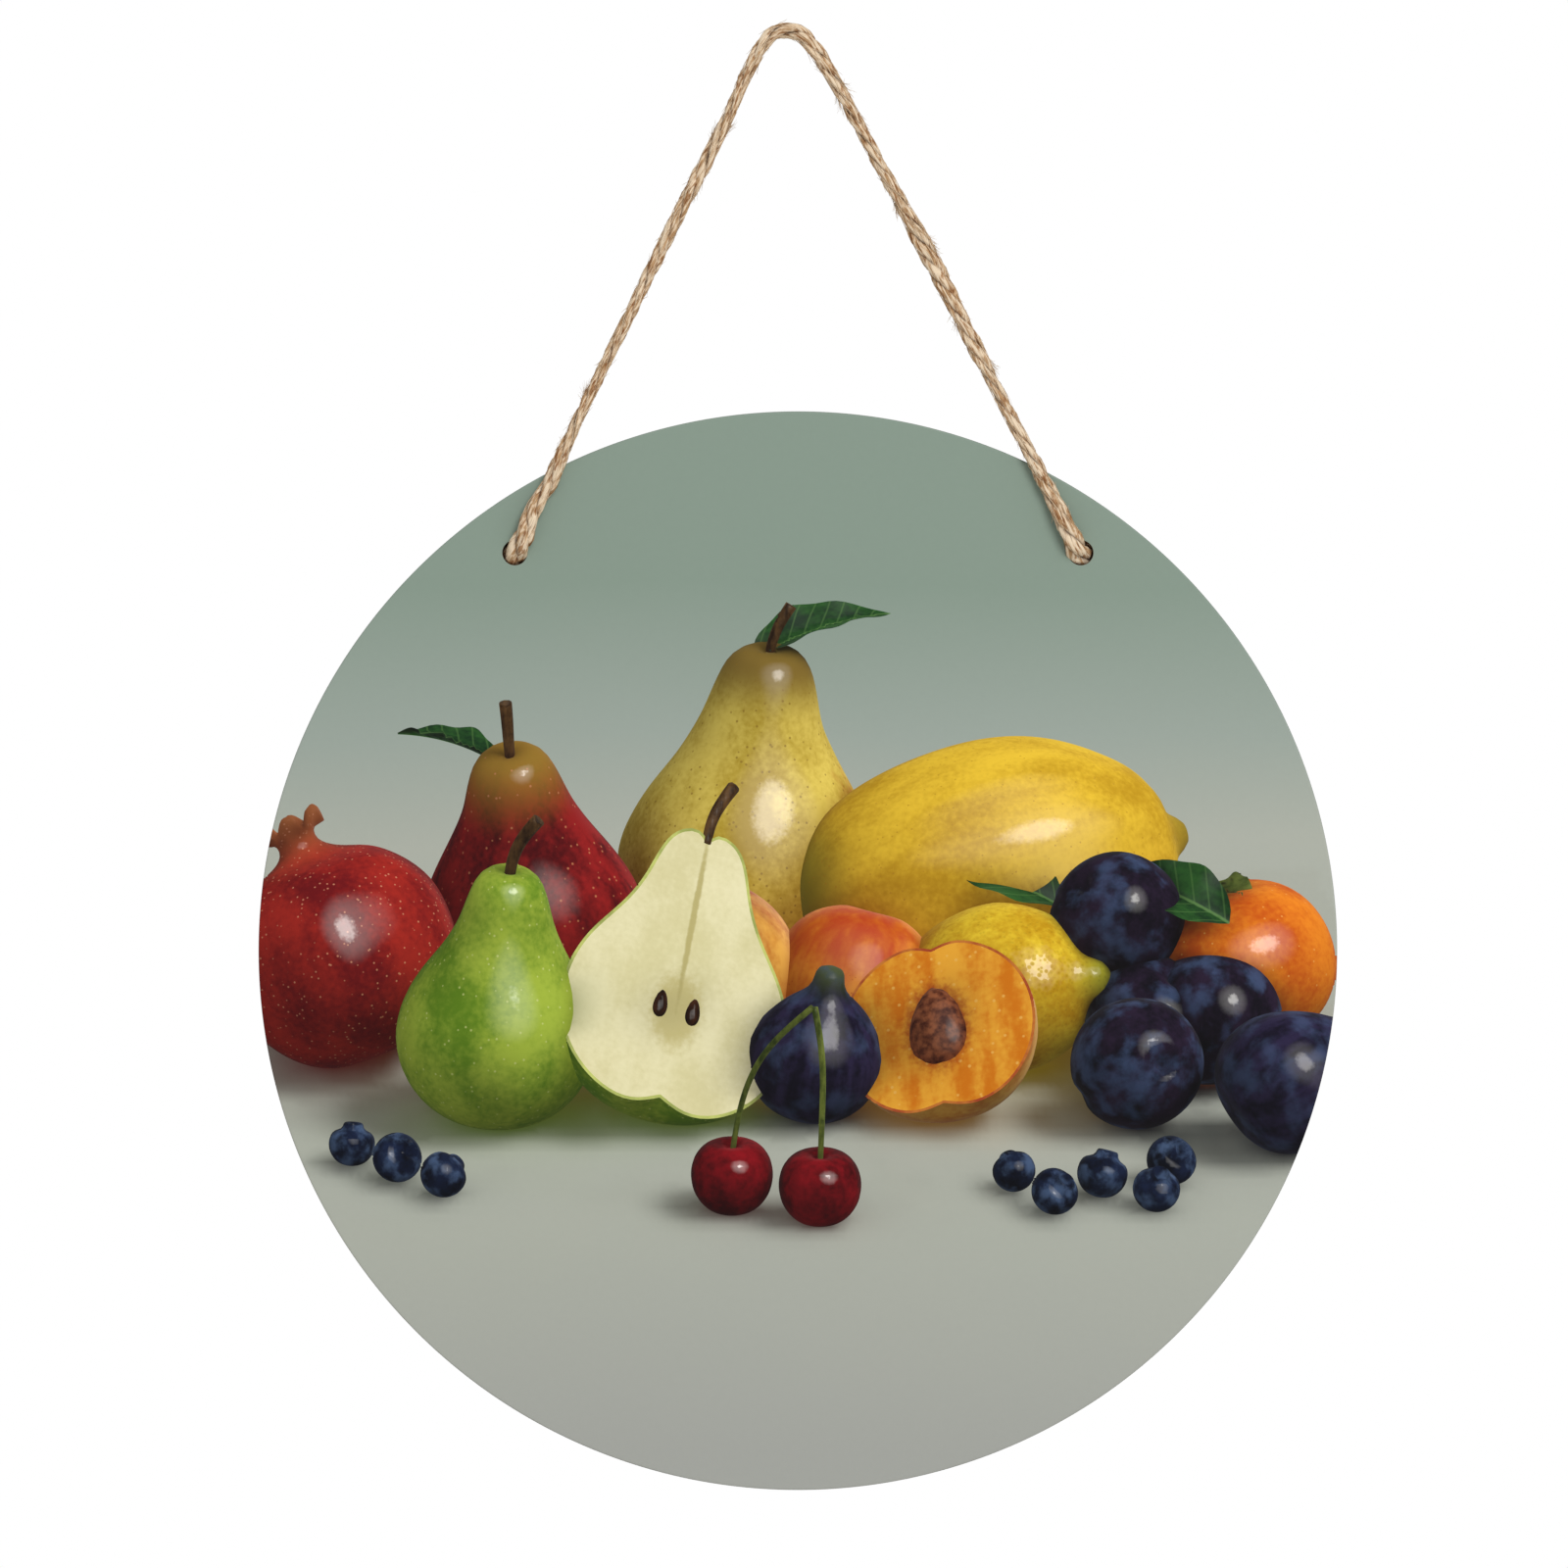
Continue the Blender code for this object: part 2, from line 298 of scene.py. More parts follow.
def leg_direction(side):
    """Direction of a leg of the rope, from its hole up to the nail's bend."""
    return (nail_bend_point(side, 1) - hole_centre(side)).normalized()


def rope_mouth(side):
    """Where the rope's middle line leaves the back of its hole: it lies low in the hole."""
    slack = HOLE_PLAY / 2 - CLEARANCE
    return hole_centre(side) - leg_direction(side) * slack + BACK * (BOARD_THICKNESS / 2)


def leg_route(side):
    """Points of one leg, from the back of its hole to the bend over the nail."""
    up = leg_direction(side)
    outward = up.cross(FRONT) * SIDES[side]
    lie = BOARD_THICKNESS / 2 + CLEARANCE + ROPE_DIAMETER / 2
    mouth = rope_mouth(side)
    run = BOARD_THICKNESS / 2 + lie + HOLE_BEND_RISE - HOLE_BEND_RADIUS
    route = [mouth]
    for degrees in (0, 30, 60, 88):
        turn = math.radians(degrees)
        rise = HOLE_BEND_RADIUS * (1 - math.cos(turn))
        out = HOLE_BEND_RADIUS * math.sin(turn)
        route.append(mouth + up * rise + FRONT * (run + out))
    top = nail_bend_point(side, 1)
    length = (top - hole_centre(side)).dot(up)
    for share, bow in zip(LEG_SHARES, LEG_BOWS[side]):
        lean = lie * min(1, (1 - share) / (1 - SHARE_ON_BOARD))
        route.append(hole_centre(side) + up * (share * length) + outward * bow + FRONT * lean)
    return route


def rope_route():
    """The rope's chosen points, from the back of the left hole over the nail to the back of the right one."""
    bend = [nail_bend_point("left", 1), nail_bend_point("left", 0.5), nail_bend_point("left", 0)]
    bend += [nail_bend_point("right", 0.5), nail_bend_point("right", 1)]
    return leg_route("left") + bend + leg_route("right")[::-1]


def knot_route(side):
    """Points of a knot that lies flat on the board's back, from the rope's mouth to its short tail."""
    tilt = KNOT_TILTS[side]
    inward = Vector((-SIDES[side] * math.cos(tilt), 0, math.sin(tilt)))
    across = BACK.cross(inward)
    mouth = rope_mouth(side) + BACK * CLEARANCE
    centre = mouth + inward * (KNOT_RING + KNOT_SWING) + BACK * (KNOT_STRAND / 2 + KNOT_SWING)
    route = [mouth, mouth + BACK * (KNOT_STRAND / 2)]
    for degrees in range(KNOT_START_DEGREES, KNOT_END_DEGREES + 1, 30):
        turn = math.radians(degrees)
        reach = KNOT_RING + KNOT_SWING * math.cos(1.5 * turn)
        flat = across * (reach * math.sin(turn)) - inward * (reach * math.cos(turn))
        route.append(centre + flat + BACK * (KNOT_SWING * math.sin(1.5 * turn)))
    way = (-inward - across * TAIL_SPREAD).normalized()
    drooping = (way - Vector((0, 0, TAIL_DROOP))).normalized()
    route.append(route[-1] + way * (KNOT_TAIL / 2))
    route.append(route[-1] + drooping * (KNOT_TAIL / 2))
    return route


def smooth_line(points, step):
    """Places, about a step apart, on one smooth curve through the points.

    The curve is a natural cubic spline over the distance between the points.
    """
    places = np.array([tuple(point) for point in points])
    spans = np.linalg.norm(np.diff(places, axis=0), axis=1)
    count = len(places)
    system = np.eye(count)
    wanted = np.zeros((count, 3))
    for i in range(1, count - 1):
        before = spans[i - 1]
        after = spans[i]
        system[i, i - 1 : i + 2] = before, 2 * (before + after), after
        wanted[i] = 6 * ((places[i + 1] - places[i]) / after - (places[i] - places[i - 1]) / before)
    bends = np.linalg.solve(system, wanted)
    line = []
    for i, span in enumerate(spans):
        parts = math.ceil(span / step)
        for part in range(parts):
            t = part / parts
            s = 1 - t
            straight = s * places[i] + t * places[i + 1]
            curved = (s**3 - s) * bends[i] + (t**3 - t) * bends[i + 1]
            line.append(straight + curved * span**2 / 6)
    line.append(places[-1])
    return np.array(line)


class Strand:
    """A line in space, with the way it runs and two cross directions carried along it without twist."""

    def __init__(self, points):
        self.points = np.asarray(points, float)
        steps = np.linalg.norm(np.diff(self.points, axis=0), axis=1)
        self.lengths = np.concatenate([[0], np.cumsum(steps)])
        self.ways = np.gradient(self.points, self.lengths, axis=0)
        self.ways /= np.linalg.norm(self.ways, axis=1)[:, None]
        start = Vector(self.ways[0]).orthogonal().normalized()
        across = [np.array(start)]
        for way in self.ways[1:]:
            carried = across[-1] - way * across[-1].dot(way)
            across.append(carried / np.linalg.norm(carried))
        self.across = np.array(across)
        self.up = np.cross(self.ways, self.across)

    def respaced(self, spacing):
        """The same line with points this far apart."""
        count = max(2, round(self.lengths[-1] / spacing) + 1)
        marks = np.linspace(0, self.lengths[-1], count)
        return Strand(np.column_stack([np.interp(marks, self.lengths, axis) for axis in self.points.T]))

    def ring_point(self, i, turn, radius):
        """A point this far from the line, at one of its points and turned this far round it."""
        cross = math.cos(turn) * self.across[i] + math.sin(turn) * self.up[i]
        return self.points[i] + radius * cross

    def station(self, length):
        """The number of the first point at or beyond a length along the line."""
        return min(len(self.points) - 1, int(np.searchsorted(self.lengths, length)))


# Meshes


def add_tube(bm, strand, sides, radius_at, note=None):
    """Adds a closed tube along the strand to the bmesh, and returns its faces.

    radius_at gives its radius at a point's number and a turn. note is told each vertex, number and turn.
    """
    last = len(strand.points) - 1
    grown = bmesh.ops.create_grid(bm, x_segments=last, y_segments=sides, size=0.5)
    for vert in grown["verts"]:
        i = round((vert.co.x + 0.5) * last)
        turn = FULL_TURN * (round((vert.co.y + 0.5) * sides) % sides) / sides
        vert.co = strand.ring_point(i, turn, radius_at(i, turn))
        if note:
            note(vert, i, turn)
    faces = {face for vert in grown["verts"] for face in vert.link_faces}
    bmesh.ops.remove_doubles(bm, verts=grown["verts"], dist=1e-7)
    faces = {face for face in faces if face.is_valid}
    ends = [edge for face in faces for edge in face.edges if edge.is_boundary]
    caps = bmesh.ops.holes_fill(bm, edges=list(set(ends)), sides=0)
    return list(faces) + caps["faces"]


def new_piece(name, bm, finishes, sharp_degrees=180):
    """Turns a finished bmesh into an object of the scene with these materials."""
    mesh = bpy.data.meshes.new(name)
    bm.to_mesh(mesh)
    bm.free()
    for finish in finishes:
        mesh.materials.append(finish)
    mesh.shade_smooth()
    if sharp_degrees < 180:
        mesh.set_sharp_from_angle(angle=math.radians(sharp_degrees))
    piece = bpy.data.objects.new(name, mesh)
    bpy.context.scene.collection.objects.link(piece)
    return piece


# Materials


class Wire:
    """A node's output, on which Python's arithmetic adds Math or Vector Math nodes."""

    def __init__(self, finish, socket):
        self.finish = finish
        self.socket = socket

    @property
    def is_vector(self):
        """True for a colour or a vector."""
        return self.socket.type in ("VECTOR", "RGBA")

    def combined(self, operation, first, second):
        """The result of one arithmetic operation on two values."""
        vectors = [item for item in (first, second) if isinstance(item, tuple)]
        vectors += [item for item in (first, second) if isinstance(item, Wire) and item.is_vector]
        kind = "VectorMath" if vectors else "Math"
        return self.finish.node(kind, {"operation": operation}, {0: first, 1: second})

    def __add__(self, other):
        return self.combined("ADD", self, other)

    def __radd__(self, other):
        return self.combined("ADD", other, self)

    def __sub__(self, other):
        return self.combined("SUBTRACT", self, other)

    def __rsub__(self, other):
        return self.combined("SUBTRACT", other, self)

    def __mul__(self, other):
        return self.combined("MULTIPLY", self, other)

    def __rmul__(self, other):
        return self.combined("MULTIPLY", other, self)

    def __truediv__(self, other):
        return self.combined("DIVIDE", self, other)


class Finish:
    """One material: node() adds its nodes, and their outputs are wires."""

    def __init__(self, name, roughness, specular):
        self.material = bpy.data.materials.new(name)
        self.material.use_nodes = True
        self.tree = self.material.node_tree
        self.shader = self.tree.nodes["Principled BSDF"]
        self.shader.inputs["Roughness"].default_value = roughness
        self.shader.inputs["Specular IOR Level"].default_value = specular

    def feed(self, socket, value):
        """Links a wire to the socket, or sets its value."""
        if isinstance(value, Wire):
            self.tree.links.new(value.socket, socket)
        elif socket.type == "RGBA":
            socket.default_value = (*value, 1)
        elif socket.type == "VECTOR" and not isinstance(value, tuple):
            socket.default_value = (value, value, value)
        else:
            socket.default_value = value

    def node(self, kind, settings=None, sockets=None, output=0):
        """Adds a node: its settings first, with a ramp's stops among them, then its sockets."""
        made = self.tree.nodes.new("ShaderNode" + kind)
        for name, value in (settings or {}).items():
            if name == "stops":
                elements = made.color_ramp.elements
                while len(elements) < len(value):
                    elements.new(1)
                for element, (place, colour) in zip(elements, value):
                    element.position = place
                    element.color = (*colour, 1)
            else:
                setattr(made, name, value)
        for name, value in (sockets or {}).items():
            self.feed(made.inputs[name], value)
        return Wire(self, made.outputs[output])

    def sets(self, **inputs):
        """Feeds the shader's own sockets."""
        for name, value in inputs.items():
            self.feed(self.shader.inputs[name.replace("_", " ")], value)

    def attribute(self, name, output="Vector"):
        """An attribute of the mesh."""
        return self.node("Attribute", {"attribute_name": name}, output=output)

    def part(self, vector, axis):
        """One coordinate of a vector."""
        return self.node("SeparateXYZ", None, {0: vector}, axis)

    def object_place(self):
        """The place on the object itself, in metres."""
        return self.node("TexCoord", None, None, "Object")

    def clouds(self, place, scale=1.0, detail=2.0):
        """Soft noise from 0 to 1, most of it near a half."""
        return self.node("TexNoise", None, {"Vector": place, "Scale": scale, "Detail": detail})

    def cells(self, place, scale=1.0):
        """Distance from the nearest of many scattered points."""
        return self.node("TexVoronoi", None, {"Vector": place, "Scale": scale})

    def rising(self, value, low, high):
        """A smooth step from 0 at low to 1 at high."""
        sockets = {0: value, 1: low, 2: high}
        return self.node("MapRange", {"interpolation_type": "SMOOTHSTEP"}, sockets)

    def mix(self, first, second, share):
        """Two colours, mixed by a share of the second."""
        return self.node("Mix", {"data_type": "RGBA"}, {0: share, 6: first, 7: second}, 2)

    def dot(self, first, second):
        """Dot product of two vectors."""
        return self.node("VectorMath", {"operation": "DOT_PRODUCT"}, {0: first, 1: second}, "Value")

    def bumped(self, height, strength, distance):
        """A normal that a height bends."""
        return self.node("Bump", None, {"Height": height, "Strength": strength, "Distance": distance})


def paint(code):
    """A linear colour from a six-digit web code."""
    shares = [int(code[i : i + 2], 16) / 255 for i in (0, 2, 4)]
    return tuple(s / 12.92 if s <= 0.04045 else ((s + 0.055) / 1.055) ** 2.4 for s in shares)


def middle_tone(kind):
    """The colour midway between a kind's dark and light ones."""
    dark, light = [np.array(paint(code)) for code in KINDS[kind]["colours"]]
    return (dark + light) / 2


def jute_finish(name, light, middle, dark):
    """Twisted jute: pale fibres along the strand, with painted shade where they dip between the plies."""
    jute = Finish(name, 0.82, 0.25)
    fibre = jute.attribute("fibre_place")
    depth = jute.attribute("fibre_depth", "Fac")
    streaks = jute.clouds(fibre * (0.16, 1.9, 1.9), 1.0, 4.0)
    patches = jute.clouds(fibre * (0.12, 0.35, 0.35), 1.0, 2.0)
    hairlines = jute.clouds(fibre * (0.22, 6.5, 6.5), 1.0, 2.0)
    flecks = jute.clouds(fibre * (0.36, 1.3, 1.3) + (0.0, 9.0, 4.0), 1.0, 2.0)
    colour = jute.mix(middle, light, jute.rising(streaks * 0.65 + patches * 0.35, 0.43, 0.56))
    colour = jute.mix(colour, dark, jute.rising(hairlines, 0.52, 0.68) * 0.6)
    colour = jute.mix(colour, light, jute.rising(flecks, 0.54, 0.64) * 0.7)
    colour = jute.mix(colour, colour * (0.52, 0.36, 0.25), 1.0 - jute.rising(flecks, 0.36, 0.46))
    # painted shade: the jute turns to the dark tone where its fibres dip towards the rope's middle between
    # the plies
    colour = jute.mix(colour, dark, jute.rising(depth + streaks * 0.25, 0.38, 0.85) * 0.92)
    relief = streaks * 0.6 + hairlines * 0.4
    jute.sets(Base_Color=colour, Normal=jute.bumped(relief, 0.7, 0.0003))
    return jute.material


# Print: fruit bodies, in millimetres, each with its stem's axis along z


def turned(profile, steps, spacing, unit=1.0, angle=FULL_TURN):
    """A body turned about z from a few (radius, height) points, from its foot to its top, times the unit."""
    line = smooth_line([(radius * unit, 0, height * unit) for radius, height in profile], spacing)
    bm = bmesh.new()
    verts = [bm.verts.new((max(0, x), 0, z)) for x, _, z in line]
    edges = [bm.edges.new(pair) for pair in zip(verts, verts[1:])]
    bmesh.ops.spin(
        bm, geom=verts + edges, axis=(0, 0, 1), cent=(0, 0, 0), angle=angle, steps=steps,
        use_merge=angle == FULL_TURN,
    )
    bmesh.ops.remove_doubles(bm, verts=bm.verts[:], dist=0.02)
    return bm


def swell(bm, share_at):
    """Moves each vertex in or out from z, by a share of its distance that depends on its turn and height."""
    for vert in bm.verts:
        share = share_at(math.atan2(vert.co.y, vert.co.x), vert.co.z)
        vert.co.x *= share
        vert.co.y *= share


def uneven(bm, amount, size, seed):
    """Makes a body a little lumpy."""
    for vert in bm.verts:
        lump = noise.noise(vert.co / size + Vector((seed * 7.3, 0, 0)))
        vert.co *= 1 + amount * lump


def add_stem(bm, points, thick, thin, slot=1):
    """Adds a stem along the points, from its thick foot to its thin end."""
    strand = Strand(smooth_line(points, 1.6))
    last = len(strand.points) - 1
    faces = add_tube(bm, strand, 8, lambda i, turn: thick + (thin - thick) * i / last)
    for face in faces:
        face.material_index = slot


def pear(height, stem_lean):
    """A standing pear with its stem."""
    unit = height / 100
    profile = [(0, 2), (9, 0), (24, 5), (35, 19), (37.5, 33), (33, 50), (23.5, 66), (17.5, 79)]
    profile += [(14, 90), (8.5, 97.5), (3, 98), (0, 95.5)]
    bm = turned(profile, 48, 3.0, unit)
    uneven(bm, 0.025, 26, stem_lean)
    top = 96 * unit
    stem = [(0, 0, top - 3), (0.5, 0, top + 5), (2 + stem_lean, 0, top + 12)]
    stem.append((4 + 3 * stem_lean, 0, top + 18))
    add_stem(bm, stem, 1.5, 2.0)
    return bm


def melon():
    """A smooth oval melon with shallow furrows."""
    profile = [(0, -62), (12, -60.5), (27, -50), (38, -29), (42.5, -3), (40, 22), (31, 43), (17, 57)]
    profile += [(7, 62), (3.5, 66), (0, 66.5)]
    bm = turned(profile, 72, 3.0)
    swell(bm, lambda turn, z: 1 + 0.011 * math.sin(11 * turn + 0.4 * math.sin(z / 15)))
    uneven(bm, 0.02, 45, 4)
    return bm


def peach(diameter, seed):
    """A peach or apricot, with its groove and a short stem pit."""
    unit = diameter / 56
    profile = [(0, 1.5), (7, 0), (19, 5), (27, 17), (28, 29), (23.5, 42), (14, 50), (6, 51.5)]
    profile += [(2.4, 49), (0, 45.5)]
    bm = turned(profile, 56, 2.2, unit)
    swell(bm, lambda turn, z: 1 - 0.075 * math.exp(-((turn / 0.17) ** 2)) * min(1, max(0, z / (14 * unit))))
    uneven(bm, 0.02, 24, seed)
    return bm


def lemon():
    """A lemon with a nipple at one end and a stalk scar at the other."""
    profile = [(0, -35), (3.6, -34.6), (6.5, -31), (15, -25), (23.5, -12), (26, 2), (22, 17), (13, 27.5)]
    profile += [(6.5, 32.5), (4.2, 36.5), (0, 38)]
    bm = turned(profile, 48, 2.4)
    uneven(bm, 0.03, 22, 2)
    return bm


def pomegranate():
    """A leathery round fruit with flat sides and a toothed crown."""
    profile = [(0, 3), (9, 0), (23, 5), (33, 18), (35.5, 33), (31, 48), (20, 59), (9.5, 63.5), (6.4, 66.5)]
    profile += [(6.8, 71), (9.6, 77), (8.8, 77), (5.8, 71), (4.6, 66), (0, 65)]
    bm = turned(profile, 60, 1.8)
    swell(bm, lambda turn, z: 1 - 0.022 * math.cos(6 * turn) * (1 if z < 60 else 0))
    for vert in bm.verts:
        if vert.co.z > 70:
            notch = abs(math.sin(3 * math.atan2(vert.co.y, vert.co.x)))
            vert.co.z -= (vert.co.z - 70) * 0.9 * (1 - notch)
    uneven(bm, 0.02, 20, 5)
    return bm


def persimmon():
    """A squat persimmon with its four-lobed calyx."""
    profile = [(0, 2), (8, 0), (22, 3.5), (31, 14), (33, 25), (30, 37), (22, 45.5), (10, 48), (0, 46.5)]
    bm = turned(profile, 56, 2.2)
    swell(bm, lambda turn, z: 1 - 0.02 * math.cos(4 * turn))
    bmesh.ops.recalc_face_normals(bm, faces=bm.faces[:])
    for lobe in range(4):
        frill = leaf(17, 17, 0.10)
        lift = Matrix.Translation((0, 0, 48.4)) @ Matrix.Rotation(math.pi / 2 * lobe + 0.6, 4, "Z")
        bmesh.ops.transform(frill, matrix=lift, verts=frill.verts[:])
        for face in frill.faces:
            face.material_index = 1
        held = bpy.data.meshes.new("frill")
        frill.to_mesh(held)
        frill.free()
        bm.from_mesh(held)
        bpy.data.meshes.remove(held)
    return bm


def fig(height, seed):
    """A dark fig with a drawn-out neck."""
    unit = height / 50
    profile = [(0, 1), (6, 0), (15, 3.5), (21, 13), (21.5, 21), (17, 31), (9.5, 39.5), (5.2, 45)]
    profile += [(3.8, 50), (0, 51)]
    bm = turned(profile, 40, 2.2, unit)
    swell(bm, lambda turn, z: 1 + 0.012 * math.sin(14 * turn) * min(1, z / (30 * unit)))
    uneven(bm, 0.05, 22, seed)
    return bm


def berry(diameter):
    """A blueberry with its little crown."""
    unit = diameter / 14
    profile = [(0, -6.4), (3.6, -5.5), (6.4, -2.4), (7, 0.6), (5.6, 3.9), (3.2, 5.6), (2.7, 6.8), (2.2, 6.6)]
    profile += [(1.7, 5.0), (0, 4.6)]
    return turned(profile, 30, 1.0, unit)


def cherry(diameter, stem):
    """A cherry and its long stem, whose points are given from the fruit's top."""
    unit = diameter / 22
    profile = [(0, 0.4), (4, 0), (9.4, 4), (11.2, 10), (9.8, 16), (5.4, 19.4), (1.8, 18.6), (0, 16.6)]
    bm = turned(profile, 36, 1.3, unit)
    add_stem(bm, [(0, 0, 15.6 * unit), *stem], 0.75, 0.9)
    return bm


def leaf(length, width, curl):
    """A pointed leaf along x, folded a little along its midrib."""
    bm = bmesh.new()
    bmesh.ops.create_grid(bm, x_segments=22, y_segments=10, size=0.5)
    for vert in bm.verts:
        t = vert.co.x + 0.5
        half = width / 2 * math.sin(math.pi * t**0.85) ** 0.85 + 0.15
        y = 2 * vert.co.y * half
        ripple = 0.6 * math.sin(t * 19) * (abs(vert.co.y) * 2) ** 2
        vert.co = (length * t, y, abs(y) * 0.42 + ripple - curl * length * t * t)
    return bm


def cut_half(profile, steps, spacing, rim):
    """Half of a turned body, cut at y = 0 and open to -y: skin, then the skin's edge, then flesh."""
    bm = turned(profile, steps, spacing, angle=math.pi)
    edges = [edge for edge in bm.edges if edge.is_boundary]
    cut = bmesh.ops.contextual_create(bm, geom=edges)["faces"]
    ring = bmesh.ops.inset_region(bm, faces=cut, thickness=rim, use_even_offset=True)["faces"]
    for face in ring:
        face.material_index = 1
    for face in cut:
        face.material_index = 2
    low = min(vert.co.z for vert in bm.verts)
    high = max(vert.co.z for vert in bm.verts)
    wide = max(vert.co.x for vert in bm.verts)
    for axis, start, end in (((0, 0, 1), low, high), ((1, 0, 0), -wide, wide)):
        for mark in np.arange(start + 3, end - 2, 5.0):
            faces = [face for face in bm.faces if face.material_index == 2]
            geom = list({item for face in faces for item in [face, *face.edges, *face.verts]})
            bmesh.ops.bisect_plane(bm, geom=geom, plane_co=Vector(axis) * float(mark), plane_no=axis)
    for slot in (1, 2):
        bmesh.ops.split(bm, geom=[face for face in bm.faces if face.material_index == slot])
    return bm


def add_lump(bm, centre, size, slot):
    """Adds an egg-shaped lump, such as a pip or a stone."""
    grown = bmesh.ops.create_uvsphere(bm, u_segments=20, v_segments=14, radius=1)
    for vert in grown["verts"]:
        point = vert.co.copy()
        pointed = 1 - 0.28 * point.z
        bump = 1 + 0.05 * noise.noise(point * 4)
        vert.co = Vector(centre) + Vector((point.x * pointed, point.y, point.z)) * Vector(size) * bump
    for face in {face for vert in grown["verts"] for face in vert.link_faces}:
        face.material_index = slot


def halved_pear():
    """Half a pear, cut side to -y, with pips and a stem."""
    profile = [(0, 3), (8, 0), (22, 4), (32.5, 17), (34.5, 30), (30, 46), (21, 60), (16, 71), (13, 80)]
    profile += [(8, 86.5), (3, 87.5), (0, 85)]
    bm = cut_half(profile, 24, 2.6, 0.9)
    for side in (-1, 1):
        add_lump(bm, (side * 5.0, -0.3, 31), (2.1, 1.5, 4.2), 3)
    add_stem(bm, [(0, 1, 84), (0.4, 1, 92), (2.4, 1, 99), (5, 1, 105)], 1.5, 2.0, 4)
    return bm


def halved_peach():
    """Half a peach, cut side to -y, with its stone."""
    profile = [(0, 1.5), (8, 0), (19, 4), (27.5, 16), (29, 28), (24.5, 41), (14, 50), (6, 52), (0, 50.5)]
    bm = cut_half(profile, 24, 2.2, 0.8)
    add_lump(bm, (0, 0.5, 26), (8.4, 5.2, 12.0), 3)
    return bm


# Print: the table with its fruit, and the light on them


def even_directions(count):
    """Directions spread evenly over the sphere."""
    heights = 1 - (2 * np.arange(count) + 1) / count
    rings = np.sqrt(1 - heights**2)
    turns = GOLDEN_ANGLE * np.arange(count)
    return np.column_stack([rings * np.cos(turns), rings * np.sin(turns), heights])


def lamp_directions(count):
    """Directions spread evenly over the lamp's disc, as seen from the table."""
    side = LAMP.orthogonal().normalized()
    rise = LAMP.cross(side)
    directions = []
    for i in range(count):
        reach = math.tan(LAMP_SPREAD) * math.sqrt((i + 0.5) / count)
        across = side * math.cos(GOLDEN_ANGLE * i) + rise * math.sin(GOLDEN_ANGLE * i)
        directions.append((LAMP + across * reach).normalized())
    return directions


